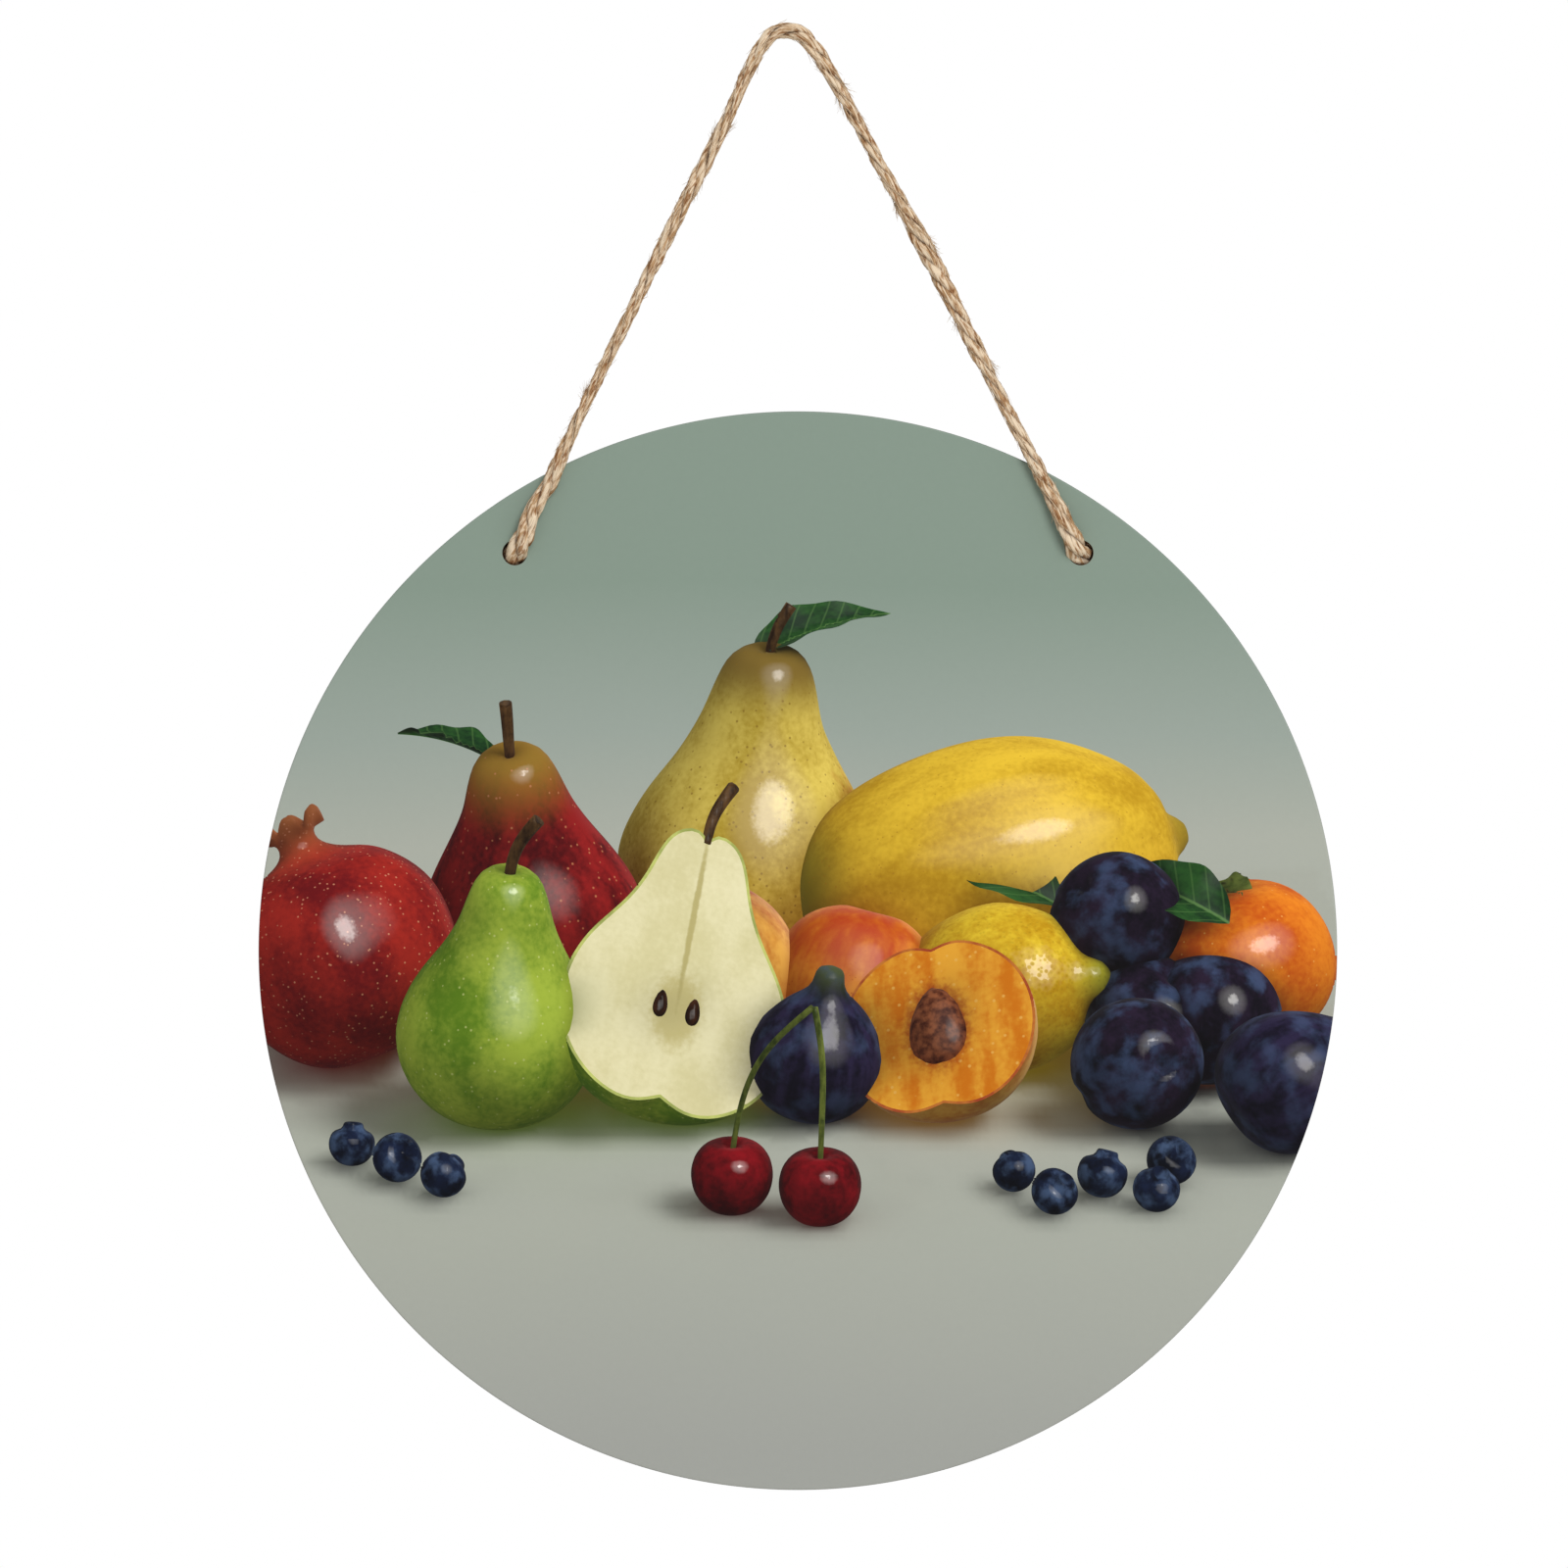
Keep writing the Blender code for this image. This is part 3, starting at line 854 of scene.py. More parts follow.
class StillLife:
    """The print's fruit as one set of triangles, the light on them, and what the print's eye sees."""

    def __init__(self, room_rays, lamp_rays):
        self.corners = []
        self.triangles = []
        self.owners = []
        self.normals = []
        self.motifs = [None]
        middles = [hole_centre(side) - BOARD_CENTRE for side in SIDES]
        self.holes = [(middle.x * MM_PER_M, middle.z * MM_PER_M) for middle in middles]
        self.room = even_directions(room_rays)
        self.room_vectors = [Vector(direction) for direction in self.room]
        self.lamp = lamp_directions(lamp_rays)
        fill = np.clip(self.room @ np.array(FILL), 0, 1) ** 3 * FILL_STRENGTH * 4
        sky = ROOM_STRENGTH * (0.75 + 0.25 * self.room[:, 2])
        below = self.room[:, 2] < 0
        glow = np.where(below, TABLE_GLOW, sky + fill)
        self.glow = glow[:, None] * np.where(below[:, None], (1.02, 1.0, 0.96), (0.98, 1.0, 1.0))

    def place(self, bm, kinds, x, y, turn=(0, 0, 0), lift=0.0, size=1.0, seed=0.0, resting=True):
        """Sets a motif on the table: turn is in degrees about x, y and z, and kinds name its finishes."""
        tilt = Euler([math.radians(angle) for angle in turn]).to_matrix().to_4x4()
        bmesh.ops.triangulate(bm, faces=bm.faces[:])
        bmesh.ops.recalc_face_normals(bm, faces=bm.faces[:])
        bmesh.ops.transform(bm, matrix=tilt @ Matrix.Scale(size, 4), verts=bm.verts[:])
        drop = min(vert.co.z for vert in bm.verts) if resting else 0
        move = Matrix.Translation((x, y, lift - drop))
        bmesh.ops.transform(bm, matrix=move, verts=bm.verts[:])
        back = (move @ tilt @ Matrix.Scale(size, 4)).inverted()
        first = len(self.corners)
        number = len(self.motifs)
        bm.normal_update()
        bm.verts.index_update()
        for vert in bm.verts:
            normal = vert.normal
            if kinds[vert.link_faces[0].material_index] in OPEN_KINDS and normal.dot(EYE_AHEAD) > 0:
                normal = -normal
            self.corners.append(vert.co.copy())
            self.normals.append(normal.copy())
        for face in bm.faces:
            self.triangles.append([first + vert.index for vert in face.verts])
            self.owners.append(number + face.material_index)
        for kind in kinds:
            self.motifs.append({"kind": kind, "back": back, "seed": seed})
        bm.free()

    def light_at(self, point, normal):
        """Red, green and blue light on a small surface, and how much of the lamp it sees."""
        start = point + normal * RAY_START
        facing = self.room @ np.array(normal)
        total = np.zeros(3)
        for i in np.nonzero(facing > 0.02)[0]:
            _, _, index, _ = self.tree.ray_cast(start, self.room_vectors[i], RAY_REACH)
            if index is None:
                total += self.glow[i] * facing[i]
            else:
                total += self.shades[self.owners[index]] * (FRUIT_GLOW * facing[i])
        total *= 4 / len(self.room)
        seen = 0
        lit = 0.0
        for direction in self.lamp:
            share = normal.dot(direction)
            if share > 0 and self.tree.ray_cast(start, direction, RAY_REACH)[2] is None:
                seen += 1
                lit += share
        total += lit * LAMP_STRENGTH / len(self.lamp)
        return [*total, seen / len(self.lamp)]

    def light(self):
        """Works out the light on each fruit's seen side, smooths it a little, and then lights the table."""
        self.tree = BVHTree.FromPolygons(self.corners, self.triangles)
        self.shades = [np.zeros(3)] + [middle_tone(motif["kind"]) for motif in self.motifs[1:]]
        lights = np.zeros((len(self.corners), 4))
        hidden = np.zeros(len(self.corners), bool)
        for i, (point, normal) in enumerate(zip(self.corners, self.normals)):
            hidden[i] = normal.dot(EYE_AHEAD) > 0.35
            if not hidden[i]:
                lights[i] = self.light_at(point, normal)
        triangles = np.array(self.triangles)
        pairs = np.vstack([triangles[:, (0, 1)], triangles[:, (1, 2)], triangles[:, (2, 0)]])
        known = (~hidden).astype(float)
        for _ in range(3):
            sums = lights * known[:, None]
            counts = known.copy()
            for a, b in ((0, 1), (1, 0)):
                np.add.at(sums, pairs[:, a], lights[pairs[:, b]] * known[pairs[:, b], None])
                np.add.at(counts, pairs[:, a], known[pairs[:, b]])
            lights = sums / np.maximum(counts, 1)[:, None]
            known = np.minimum(counts, 1)
        open_light = np.array(self.light_at(FAR_TABLE, UPWARDS))
        self.lights = lights / [*open_light[:3], 1]
        self.light_table(open_light)

    def light_table(self, open_light):
        """Works out the light on the table as a share of the light far from the fruit, and smooths it."""
        self.table_x, self.table_y = [np.arange(*span, step) for span, step in zip(TABLE_SPANS, TABLE_STEPS)]
        table = np.ones((len(self.table_x), len(self.table_y), 4))
        for i, x in enumerate(self.table_x):
            for j, y in enumerate(self.table_y):
                table[i, j] = self.light_at(Vector((x, y, 0)), UPWARDS)
        table /= open_light
        soft = table.copy()
        soft[1:-1, 1:-1] = table[1:-1, 1:-1] * 0.5
        for i, j in ((0, 1), (2, 1), (1, 0), (1, 2)):
            rows = slice(i, i + len(self.table_x) - 2)
            columns = slice(j, j + len(self.table_y) - 2)
            soft[1:-1, 1:-1] += table[rows, columns] * 0.125
        self.table = soft

    def table_light(self, x, y):
        """The light on a point of the table, as a share of the light on the empty table."""
        i = (x - self.table_x[0]) / TABLE_STEPS[0]
        j = (y - self.table_y[0]) / TABLE_STEPS[1]
        if not (0 <= i < len(self.table_x) - 1 and 0 <= j < len(self.table_y) - 1):
            return np.ones(4)
        a, b = int(i), int(j)
        s, t = i - a, j - b
        near = self.table[a, b] * (1 - s) + self.table[a + 1, b] * s
        far = self.table[a, b + 1] * (1 - s) + self.table[a + 1, b + 1] * s
        return near * (1 - t) + far * t

    def seen(self, u, v):
        """The triangle that the eye sees at a place of the print, or None, and where."""
        way = (EYE_AHEAD * EYE_DISTANCE + Vector((u, 0, 0)) + EYE_UP * v).normalized()
        place, _, index, _ = self.tree.ray_cast(EYE, way)
        return way, place, index

    def owner_at(self, u, v):
        """The number of the motif that shows at a place of the print."""
        if math.hypot(u, v) > PRINT_RADIUS:
            return BEYOND_EDGE
        for hole_u, hole_v in self.holes:
            if math.hypot(u - hole_u, v - hole_v) < HOLE_PRINT_RADIUS:
                return IN_HOLE
        index = self.seen(u, v)[2]
        return TABLE if index is None else self.owners[index]

    def look(self, owner, u, v):
        """What a motif shows at a place: its own point, normal and light, or None if it isn't there."""
        way, place, index = self.seen(u, v)
        if owner <= TABLE:
            if index is not None:
                return None
            ground = EYE - way * (EYE.z / way.z) if way.z < -1e-4 else Vector((0, 9999, 0))
            light = self.table_light(ground.x, ground.y)
            return Vector((u, v, 0)), UPWARDS, light
        if index is None or self.owners[index] != owner:
            return None
        three = self.triangles[index]
        shares = poly_3d_calc([self.corners[i] for i in three], place)
        normal = Vector((0, 0, 0))
        light = np.zeros(4)
        for i, share in zip(three, shares):
            normal += self.normals[i] * share
            light += self.lights[i] * share
        return self.motifs[owner]["back"] @ place, normal.normalized(), light


def skin_colour(ink, place, seed, look):
    """The unlit colour of a fruit's surface, and its cloudiness."""
    grain = ink.clouds(place * look["grain"] + seed * 3.7, 1.0, 3.0)
    fine = ink.clouds(place + seed * 5.1, 0.55, 2.0)
    share = ink.rising(grain * 0.75 + fine * 0.25, 0.34, 0.66)
    colour = ink.mix(paint(look["colours"][0]), paint(look["colours"][1]), share)
    height = ink.part(place, "Z")
    for code, start, end in look.get("ends", ()):
        way = math.copysign(1, end - start)
        colour = ink.mix(colour, paint(code), ink.rising(height * way, start * way, end * way))
    if "blush" in look:
        code, direction, start, end, height = look["blush"]
        outward = ink.node("VectorMath", {"operation": "NORMALIZE"}, {0: place - (0.0, 0.0, height)})
        streak = ink.clouds(outward * (5.0, 5.0, 1.2) + seed, 1.0, 3.0)
        toward = ink.dot(outward, tuple(Vector(direction).normalized())) + (streak - 0.5) * 1.1
        colour = ink.mix(colour, paint(code), ink.rising(toward, start, end) * 0.9)
    if "dots" in look:
        spacing, reach, code = look["dots"]
        near = ink.cells(place + seed, 1 / spacing)
        dot = 1.0 - ink.rising(near, reach * 0.5, reach)
        colour = ink.mix(colour, paint(code), dot * 0.65)
    if "core" in look:
        for code, height, wide, tall in look["core"]:
            off = (place - (0.0, 0.0, float(height))) * (1 / wide, 0.0, 1 / tall)
            reach = ink.node("VectorMath", {"operation": "LENGTH"}, {0: off}, "Value")
            inside = 1.0 - ink.rising(reach + (fine - 0.5) * 0.5, 0.55, 1.15)
            colour = ink.mix(colour, paint(code), inside * 0.85)
    if "bloom" in look:
        code, amount = look["bloom"]
        dust = ink.clouds(place + seed * 9.3, look.get("dust", 0.12), 6.0)
        colour = ink.mix(colour, paint(code), ink.rising(dust, 0.44, 0.70) * amount)
    if "veins" in look:
        across = ink.node("Math", {"operation": "ABSOLUTE"}, {0: ink.part(place, "Y")})
        along = ink.part(place, "X")
        rib = 1.0 - ink.rising(across, 0.25, 0.75)
        phase = (along - across * 0.9) * 1.15
        side = ink.rising(ink.node("Math", {"operation": "SINE"}, {0: phase}), 0.86, 1.0)
        colour = ink.mix(colour, paint(look["veins"]), rib * 0.8)
        colour = ink.mix(colour, paint(look["veins"]), side * 0.35)
    return colour, grain


def fruit_ink(kind):
    """The print of one kind of fruit surface: its colour, lit by the light that falls on it there."""
    look = KINDS[kind]
    ink = Finish("print_" + kind, 0.46, 0.10)
    place = ink.attribute("fruit_place")
    normal = ink.attribute("fruit_normal")
    light = ink.attribute("fruit_light", "Color")
    lamp_share = ink.attribute("fruit_light", "Alpha")
    seed = ink.attribute("fruit_seed", "Fac")
    colour, grain = skin_colour(ink, place, seed, look)
    if "pores" in look:
        pits = ink.cells(place, 1 / look["pores"])
        wobble = (pits - 0.42) * 0.42
        colour = colour * (0.84 + ink.rising(pits, 0.05, 0.45) * 0.16)
    else:
        ragged = ink.clouds(place + seed * 2.3, 0.9, 3.0)
        wobble = (ragged - 0.5) * 0.10
    eye = tuple(-EYE_AHEAD)
    facing = ink.dot(normal, eye)
    mirrored = normal * (facing * 2.0) - eye
    toward_window = ink.dot(mirrored, tuple(WINDOW)) + wobble * 0.35
    wide = math.radians(look["wide"])
    core = ink.rising(toward_window, math.cos(wide * 1.3), math.cos(wide * 0.5))
    halo = ink.rising(toward_window, math.cos(wide * 3.2), 1.0)
    gloss = (core * 0.8 + halo * 0.25) * (lamp_share * 0.7 + 0.3) * look["shine"]
    edge = (1.0 - ink.rising(facing, 0.0, 0.55)) * look.get("fuzz", 0.03)
    lit = colour * light
    lit = lit + (1.0, 0.985, 0.95) * gloss
    lit = lit + (0.75, 0.80, 0.78) * (edge * ink.dot(light, (0.33, 0.34, 0.33)))
    ink.sets(Base_Color=lit, Normal=board_texture(ink))
    return ink.material


def board_texture(ink):
    """The faint orange-peel of a print on board."""
    return ink.bumped(ink.clouds(ink.object_place(), 900.0, 2.0), 0.05, 0.0002)


def backdrop_ink(low, pale, middle, top):
    """The table and the backdrop behind it: one sweep, pale at the table's far end and grey-green above."""
    ink = Finish("print_backdrop", 0.46, 0.10)
    place = ink.attribute("fruit_place")
    light = ink.attribute("fruit_light", "Color")
    height = ink.part(place, "Y") / (2 * PRINT_RADIUS) + 0.5
    drift = ink.clouds(place * (0.006, 0.011, 1.0), 1.0, 1.0)
    height = height + (drift - 0.5) * 0.05
    stops = ((0.03, low), (0.24, pale), (0.60, pale), (0.70, middle), (0.84, top), (1.0, top))
    sweep = ink.node("ValToRGB", {"stops": stops}, {0: height})
    dust = ink.clouds(place, 0.5, 2.0) * 0.03 + 0.985
    ink.sets(Base_Color=sweep * light * dust, Normal=board_texture(ink))
    return ink.material


def bare_finish(name, dark, light, roughness):
    """Bare fibreboard: fine short fibres in a mixed brown."""
    bare = Finish(name, roughness, 0.3)
    place = bare.object_place()
    fibres = bare.clouds(place * (1.0, 1.0, 2.2), 1500.0, 4.0)
    mottle = bare.clouds(place, 60.0, 4.0)
    colour = bare.mix(dark, light, bare.rising(fibres * 0.85 + mottle * 0.15, 0.34, 0.66))
    bare.sets(Base_Color=colour, Normal=bare.bumped(fibres, 0.25, 0.0002))
    return bare.material


def set_table(still):
    """Lays out the print's fruit, from the back of the table to its front."""
    still.place(pear(112, 0.6), ("yellow_pear", "stem"), -20, 160, (3, 5, 20), seed=1.0)
    still.place(melon(), ("melon",), 60, 140, (0, 82, 14), seed=2.0)
    still.place(pear(94, -0.8), ("red_pear", "stem"), -80, 124, (2, -13, 60), seed=3.0)
    still.place(pomegranate(), ("pomegranate",), -126, 78, (-14, -20, 10), seed=4.0)
    still.place(pear(78, 1.0), ("green_pear", "stem"), -90, 36, (4, 6, 0), seed=5.0)
    still.place(peach(60, 1.0), ("peach",), -38, 84, (-16, 6, -80), seed=6.0)
    still.place(peach(50, 2.0), ("apricot",), 10, 76, (-24, -8, -60), seed=8.0)
    still.place(lemon(), ("lemon",), 60, 76, (0, 74, -28), seed=7.0)
    still.place(persimmon(), ("persimmon", "calyx"), 138, 88, (-12, -14, 20), seed=9.0)
    plums = ((98, 70, 0, 40), (124, 56, 0, 42), (108, 84, 27, 40), (92, 44, 0, 38))
    for number, (x, y, lift, diameter) in enumerate(plums):
        plum = peach(diameter, 12.0 + number)
        turn = (20 - 30 * number, 24, 70 * number)
        still.place(plum, ("plum",), x, y, turn, lift=lift, seed=12.0 + number)
    edge_and_flesh = ("green_pear", "pear_edge", "pear_flesh", "pip", "stem")
    still.place(halved_pear(), edge_and_flesh, -40, 12, (-38, 20, 10), seed=10.0)
    half = ("peach", "peach_edge", "peach_flesh", "stone")
    still.place(halved_peach(), half, 42, 16, (-42, -14, -10), seed=11.0)
    still.place(fig(46, 2.0), ("fig",), 2, 38, (-4, 10, -50), seed=17.0)
    still.place(fig(48, 3.0), ("fig",), 124, 4, (8, 62, 30), seed=18.0)
    cherries = (
        (6, -44, [(0.6, 1, 32), (0.5, 3, 46), (-1.5, 4, 60)]),
        (-18, -36, [(3, 0, 32), (9, -2, 46), (22, -4, 60)]),
    )
    for number, (x, y, stem) in enumerate(cherries):
        still.place(cherry(22, stem), ("cherry", "green_stem"), x, y, seed=20.0 + number)
    berries = (
        (84, -26, 14), (98, -36, 13), (70, -38, 13), (104, -16, 14), (-112, -14, 14), (-98, -26, 13),
        (-126, -2, 13), (60, -22, 12),
    )
    chance = random.Random(11)
    for number, (x, y, diameter) in enumerate(berries):
        turn = (chance.uniform(-60, 30), chance.uniform(-50, 50), chance.uniform(0, 360))
        still.place(berry(diameter), ("berry",), x, y, turn, seed=30.0 + number)
    leaves = (
        (-14, 160, 108, 46, 24, (8, -28, 16)),
        (80, 96, 46, 42, 23, (-22, -24, 158)),
        (-94, 118, 86, 36, 20, (10, -20, 150)),
        (128, 66, 50, 40, 21, (-30, -24, 150)),
    )
    for number, (x, y, z, length, width, turn) in enumerate(leaves):
        blade = leaf(length, width, 0.25)
        still.place(blade, ("leaf",), x, y, turn, lift=z, seed=40.0 + number, resting=False)


def print_mesh(still, grid):
    """The board's printed front, cut along every outline in the picture, as a bmesh in millimetres."""
    bm = bmesh.new()
    count = math.ceil(PRINT_RADIUS / grid) + 1
    bmesh.ops.create_grid(bm, x_segments=count, y_segments=count, size=count * grid)
    for busy in (lambda shown: shown != {TABLE} and shown != {BEYOND_EDGE}, lambda shown: len(shown) > 1):
        bm.verts.index_update()
        owners = [still.owner_at(vert.co.x, vert.co.y) for vert in bm.verts]
        faces = [face for face in bm.faces if busy({owners[vert.index] for vert in face.verts})]
        edges = {edge for face in faces for edge in face.edges}
        bmesh.ops.subdivide_edges(bm, edges=list(edges), cuts=1, use_grid_fill=True)
    bmesh.ops.triangulate(bm, faces=bm.faces[:])
    bm.verts.index_update()
    owners = [still.owner_at(vert.co.x, vert.co.y) for vert in bm.verts]
    crossings = {}
    cut_edges = []
    for edge in bm.edges:
        a, b = edge.verts
        if owners[a.index] != owners[b.index]:
            low, high = a.co.copy(), b.co.copy()
            for _ in range(OUTLINE_HALVINGS):
                middle = (low + high) / 2
                if still.owner_at(middle.x, middle.y) == owners[a.index]:
                    low = middle
                else:
                    high = middle
            crossings[frozenset((a.index, b.index))] = (low + high) / 2
            cut_edges.append(edge)
    cut = bmesh.ops.bisect_edges(bm, edges=cut_edges, cuts=1)
    added = [item for item in cut["geom_split"] if isinstance(item, bmesh.types.BMVert)]
    bm.verts.index_update()
    for vert in added:
        ends = [edge.other_vert(vert).index for edge in vert.link_edges]
        for pair in ((a, b) for a in ends for b in ends if a < b):
            if frozenset(pair) in crossings:
                vert.co = crossings[frozenset(pair)]
    bmesh.ops.connect_verts(bm, verts=added)
    far = [vert for vert in bm.verts if vert.co.length > PRINT_RADIUS + 2 * grid]
    bmesh.ops.delete(bm, geom=far, context="VERTS")
    bmesh.ops.triangulate(bm, faces=bm.faces[:])
    return bm


def tell_faces(bm, still, kinds):
    """Writes on each face of the print what it shows there, and drops the faces outside the print."""
    layers = {
        "place": bm.loops.layers.float_vector.new("fruit_place"),
        "normal": bm.loops.layers.float_vector.new("fruit_normal"),
        "light": bm.loops.layers.float_color.new("fruit_light"),
        "seed": bm.loops.layers.float.new("fruit_seed"),
    }
    known = {}
    outside = []
    bm.verts.index_update()
    for face in bm.faces:
        middle = face.calc_center_median()
        owner = still.owner_at(middle.x, middle.y)
        if owner < TABLE:
            outside.append(face)
            continue
        motif = still.motifs[owner]
        face.material_index = kinds.index(motif["kind"]) if motif else 0
        for loop in face.loops:
            key = (loop.vert.index, owner)
            if key not in known:
                looked = None
                for share in (0, 0.01, 0.06, 0.25, 0.6, 1):
                    spot = loop.vert.co.lerp(middle, share)
                    looked = still.look(owner, spot.x, spot.y)
                    if looked:
                        break
                known[key] = looked
            place, normal, light = known[key]
            loop[layers["place"]] = place
            loop[layers["normal"]] = normal
            loop[layers["light"]] = light
            loop[layers["seed"]] = motif["seed"] if motif else 0
    bmesh.ops.delete(bm, geom=outside, context="FACES")
    loose = [vert for vert in bm.verts if not vert.link_faces]
    bmesh.ops.delete(bm, geom=loose, context="VERTS")


def add_edges(bm, edge_slot, hole_slot, back_slot):
    """Gives the flat print its thickness: eased edges, still printed, the cut side, the holes and the back.

    The bmesh is in metres here, with the board's middle at the origin and the print on the board's front.
    Each ring is given by its shares of the easing, inwards and in depth, and its side: 1 in front, -1 behind.
    """
    front = -BOARD_THICKNESS / 2
    centres = [hole_centre(side) - BOARD_CENTRE for side in SIDES]
    turns = [math.radians(degrees) for degrees in (30, 60, 90)]
    rounds = [(1 - math.sin(turn), 1 - math.cos(turn)) for turn in turns]
    rings = [(*share, 1) for share in rounds] + [(*share, -1) for share in reversed(rounds)] + [(1, 0, -1)]
    loop = [edge for edge in bm.edges if edge.is_boundary]
    for number, (inset, depth, end) in enumerate(rings):
        grown = bmesh.ops.extrude_edge_only(bm, edges=loop)["geom"]
        for vert in (item for item in grown if isinstance(item, bmesh.types.BMVert)):
            flat = Vector((vert.co.x, 0, vert.co.z))
            home = min(centres, key=lambda centre: (flat - centre).length)
            if (flat - home).length < 2 * HOLE_RADIUS:
                easing = HOLE_EASING
                spot = home + (flat - home).normalized() * (HOLE_RADIUS + easing * inset)
            else:
                easing = EASING
                spot = flat.normalized() * (BOARD_RADIUS - easing * inset)
            vert.co = (spot.x, end * (front + easing * depth), spot.z)
        loop = [item for item in grown if isinstance(item, bmesh.types.BMEdge)]
        for face in (item for item in grown if isinstance(item, bmesh.types.BMFace)):
            middle = face.calc_center_median()
            flat = Vector((middle.x, 0, middle.z))
            near_hole = min((flat - centre).length for centre in centres) < 2 * HOLE_RADIUS
            if near_hole or number > 1:
                face.material_index = hole_slot if near_hole else edge_slot
    filled = bmesh.ops.triangle_fill(bm, edges=loop, use_beauty=True)
    for face in (item for item in filled["geom"] if isinstance(item, bmesh.types.BMFace)):
        face.material_index = back_slot


def map_board(mesh):
    """The board's map, named OFBake: its front large, its back small, its edge round the front.

    The front is a disc about 0.43, 0.43, the edge is a thin ring just outside it, the back is a small disc in
    the upper right corner, and the holes' walls are in the lower right one.
    """
    count = len(mesh.loops)
    at = np.zeros(count, np.int32)
    mesh.loops.foreach_get("vertex_index", at)
    places = np.zeros(len(mesh.vertices) * 3, np.float32)
    mesh.vertices.foreach_get("co", places)
    places = places.reshape(-1, 3)[at] - np.array(BOARD_CENTRE)
    front_middle, front_reach = 0.43, 0.42
    back_middle, back_reach = 0.875, 0.115
    edge_start, edge_width = 0.423, 0.012
    hole_middle, hole_width = (0.95, 0.05), 0.04
    slots = np.zeros(len(mesh.polygons), np.int32)
    mesh.polygons.foreach_get("material_index", slots)
    totals = np.zeros(len(mesh.polygons), np.int32)
    mesh.polygons.foreach_get("loop_total", totals)
    slots = np.repeat(slots, totals)
    last = len(mesh.materials) - 1
    share = places[:, (0, 2)] / BOARD_RADIUS
    reach = np.linalg.norm(share, axis=1)[:, None]
    depth = (places[:, 1:2] / BOARD_THICKNESS) + 0.5
    front = front_middle + front_reach * share
    back = back_middle + back_reach * share * (-1, 1)
    edge = front_middle + share / np.maximum(reach, 1e-6) * (edge_start + edge_width * depth)
    hole = np.array(hole_middle) + hole_width * (depth * share * 8 % 1 - 0.5)
    where = np.where((slots == last)[:, None], back, front)
    where = np.where((slots == last - 2)[:, None], edge, where)
    where = np.where((slots == last - 1)[:, None], hole, where)
    layer = mesh.uv_layers.new(name="OFBake")
    layer.data.foreach_set("uv", where.astype(np.float32).ravel())


# Rope


def lay_plies(bm, strand, scales, depths, settings, phase=0.0):
    """Winds the rope's plies round the strand, each a tube with fibres in relief.

    scales and depths are how thick the rope is at each of the strand's points, along the board and off it.
    """
    place_layer = bm.verts.layers.float_vector.new("fibre_place")
    shade_depth_layer = bm.verts.layers.float.new("fibre_depth")
    turns = FULL_TURN * strand.lengths / settings.lay_length
    sideways = level_sideways(strand)
    for ply in range(PLIES):
        wobble = np.array([noise.noise(Vector((s * 170, ply * 9.1, phase))) for s in strand.lengths])
        slack = np.array([noise.noise(Vector((s * 240, ply * 5.3, phase + 7))) for s in strand.lengths])
        angles = phase - turns + FULL_TURN * ply / PLIES + 0.45 * wobble
        around = np.cos(angles)[:, None] * strand.across + np.sin(angles)[:, None] * strand.up
        line = Strand(strand.points + around * (settings.ply_offset * (1 + 0.12 * slack))[:, None])

        def radius_at(i, turn, line=line, ply=ply):
            along = line.lengths[i]
            fibre_turn = turn - FULL_TURN * along / settings.fibre_lay
            swelling = noise.noise(Vector((along * 230, 3.7 * ply, 5)))
            spot = Vector((along * 150, math.cos(fibre_turn) * 3.1, math.sin(fibre_turn) * 3.1 + 13 * ply))
            return settings.ply_radius * (1 + 0.22 * noise.noise(spot) + 0.13 * swelling)

        def note(vert, i, turn, line=line, ply=ply):
            fibre_turn = turn - FULL_TURN * line.lengths[i] / settings.fibre_lay
            radius = settings.ply_radius * MM_PER_M
            along = line.lengths[i] * MM_PER_M + 60 * ply
            vert[place_layer] = (along, math.cos(fibre_turn) * radius, math.sin(fibre_turn) * radius)
            off = np.array(vert.co) - strand.points[i]
            # how far in towards the rope's middle the point lies, which the jute's painted shade in the
            # hollows follows
            vert[shade_depth_layer] = max(0, 1 - np.linalg.norm(off) / settings.rope_radius) * 1.6
            wide = sideways[i] * off.dot(sideways[i])
            vert.co = strand.points[i] + wide * scales[i] + (off - wide) * depths[i]

        add_tube(bm, line, PLY_SIDES, radius_at, note)


def leg_share(point):
    """The side of the leg that a point of the rope is on, and its share of the way from hole to nail."""
    side = "left" if point.x < 0 else "right"
    up = leg_direction(side)
    start = hole_centre(side)
    return side, (point - start).dot(up) / (nail_bend_point(side, 1) - start).dot(up)


def settled(strand):
    """The strand, moved a little near its holes and the nail to lie there as it does in the photograph."""
    points = []
    for place in strand.points:
        point = Vector(place)
        side, share = leg_share(point)
        share = max(0, share)
        up = leg_direction(side)
        through = min(1, max(0, (BOARD_HIGH.y - point.y) / BOARD_THICKNESS))
        out = np.interp(share, *zip(*LIES[side]))
        lift = LIFT_IN_HOLE * max(0, 1 - share / HOLE_SHARE)
        points.append(point + (up.cross(FRONT) * SIDES[side] * out + up * lift) * through)
    return Strand(points)


def level_sideways(strand):
    """At each of the strand's points, the direction along the board and across the strand."""
    flat = strand.ways[:, (0, 2)]
    sure = np.linalg.norm(flat, axis=1) > 0.5
    slopes = np.unwrap(np.arctan2(flat[sure, 1], flat[sure, 0]))
    slopes = np.interp(strand.lengths, strand.lengths[sure], slopes)
    return np.column_stack([np.sin(slopes), np.zeros(len(slopes)), -np.cos(slopes)])


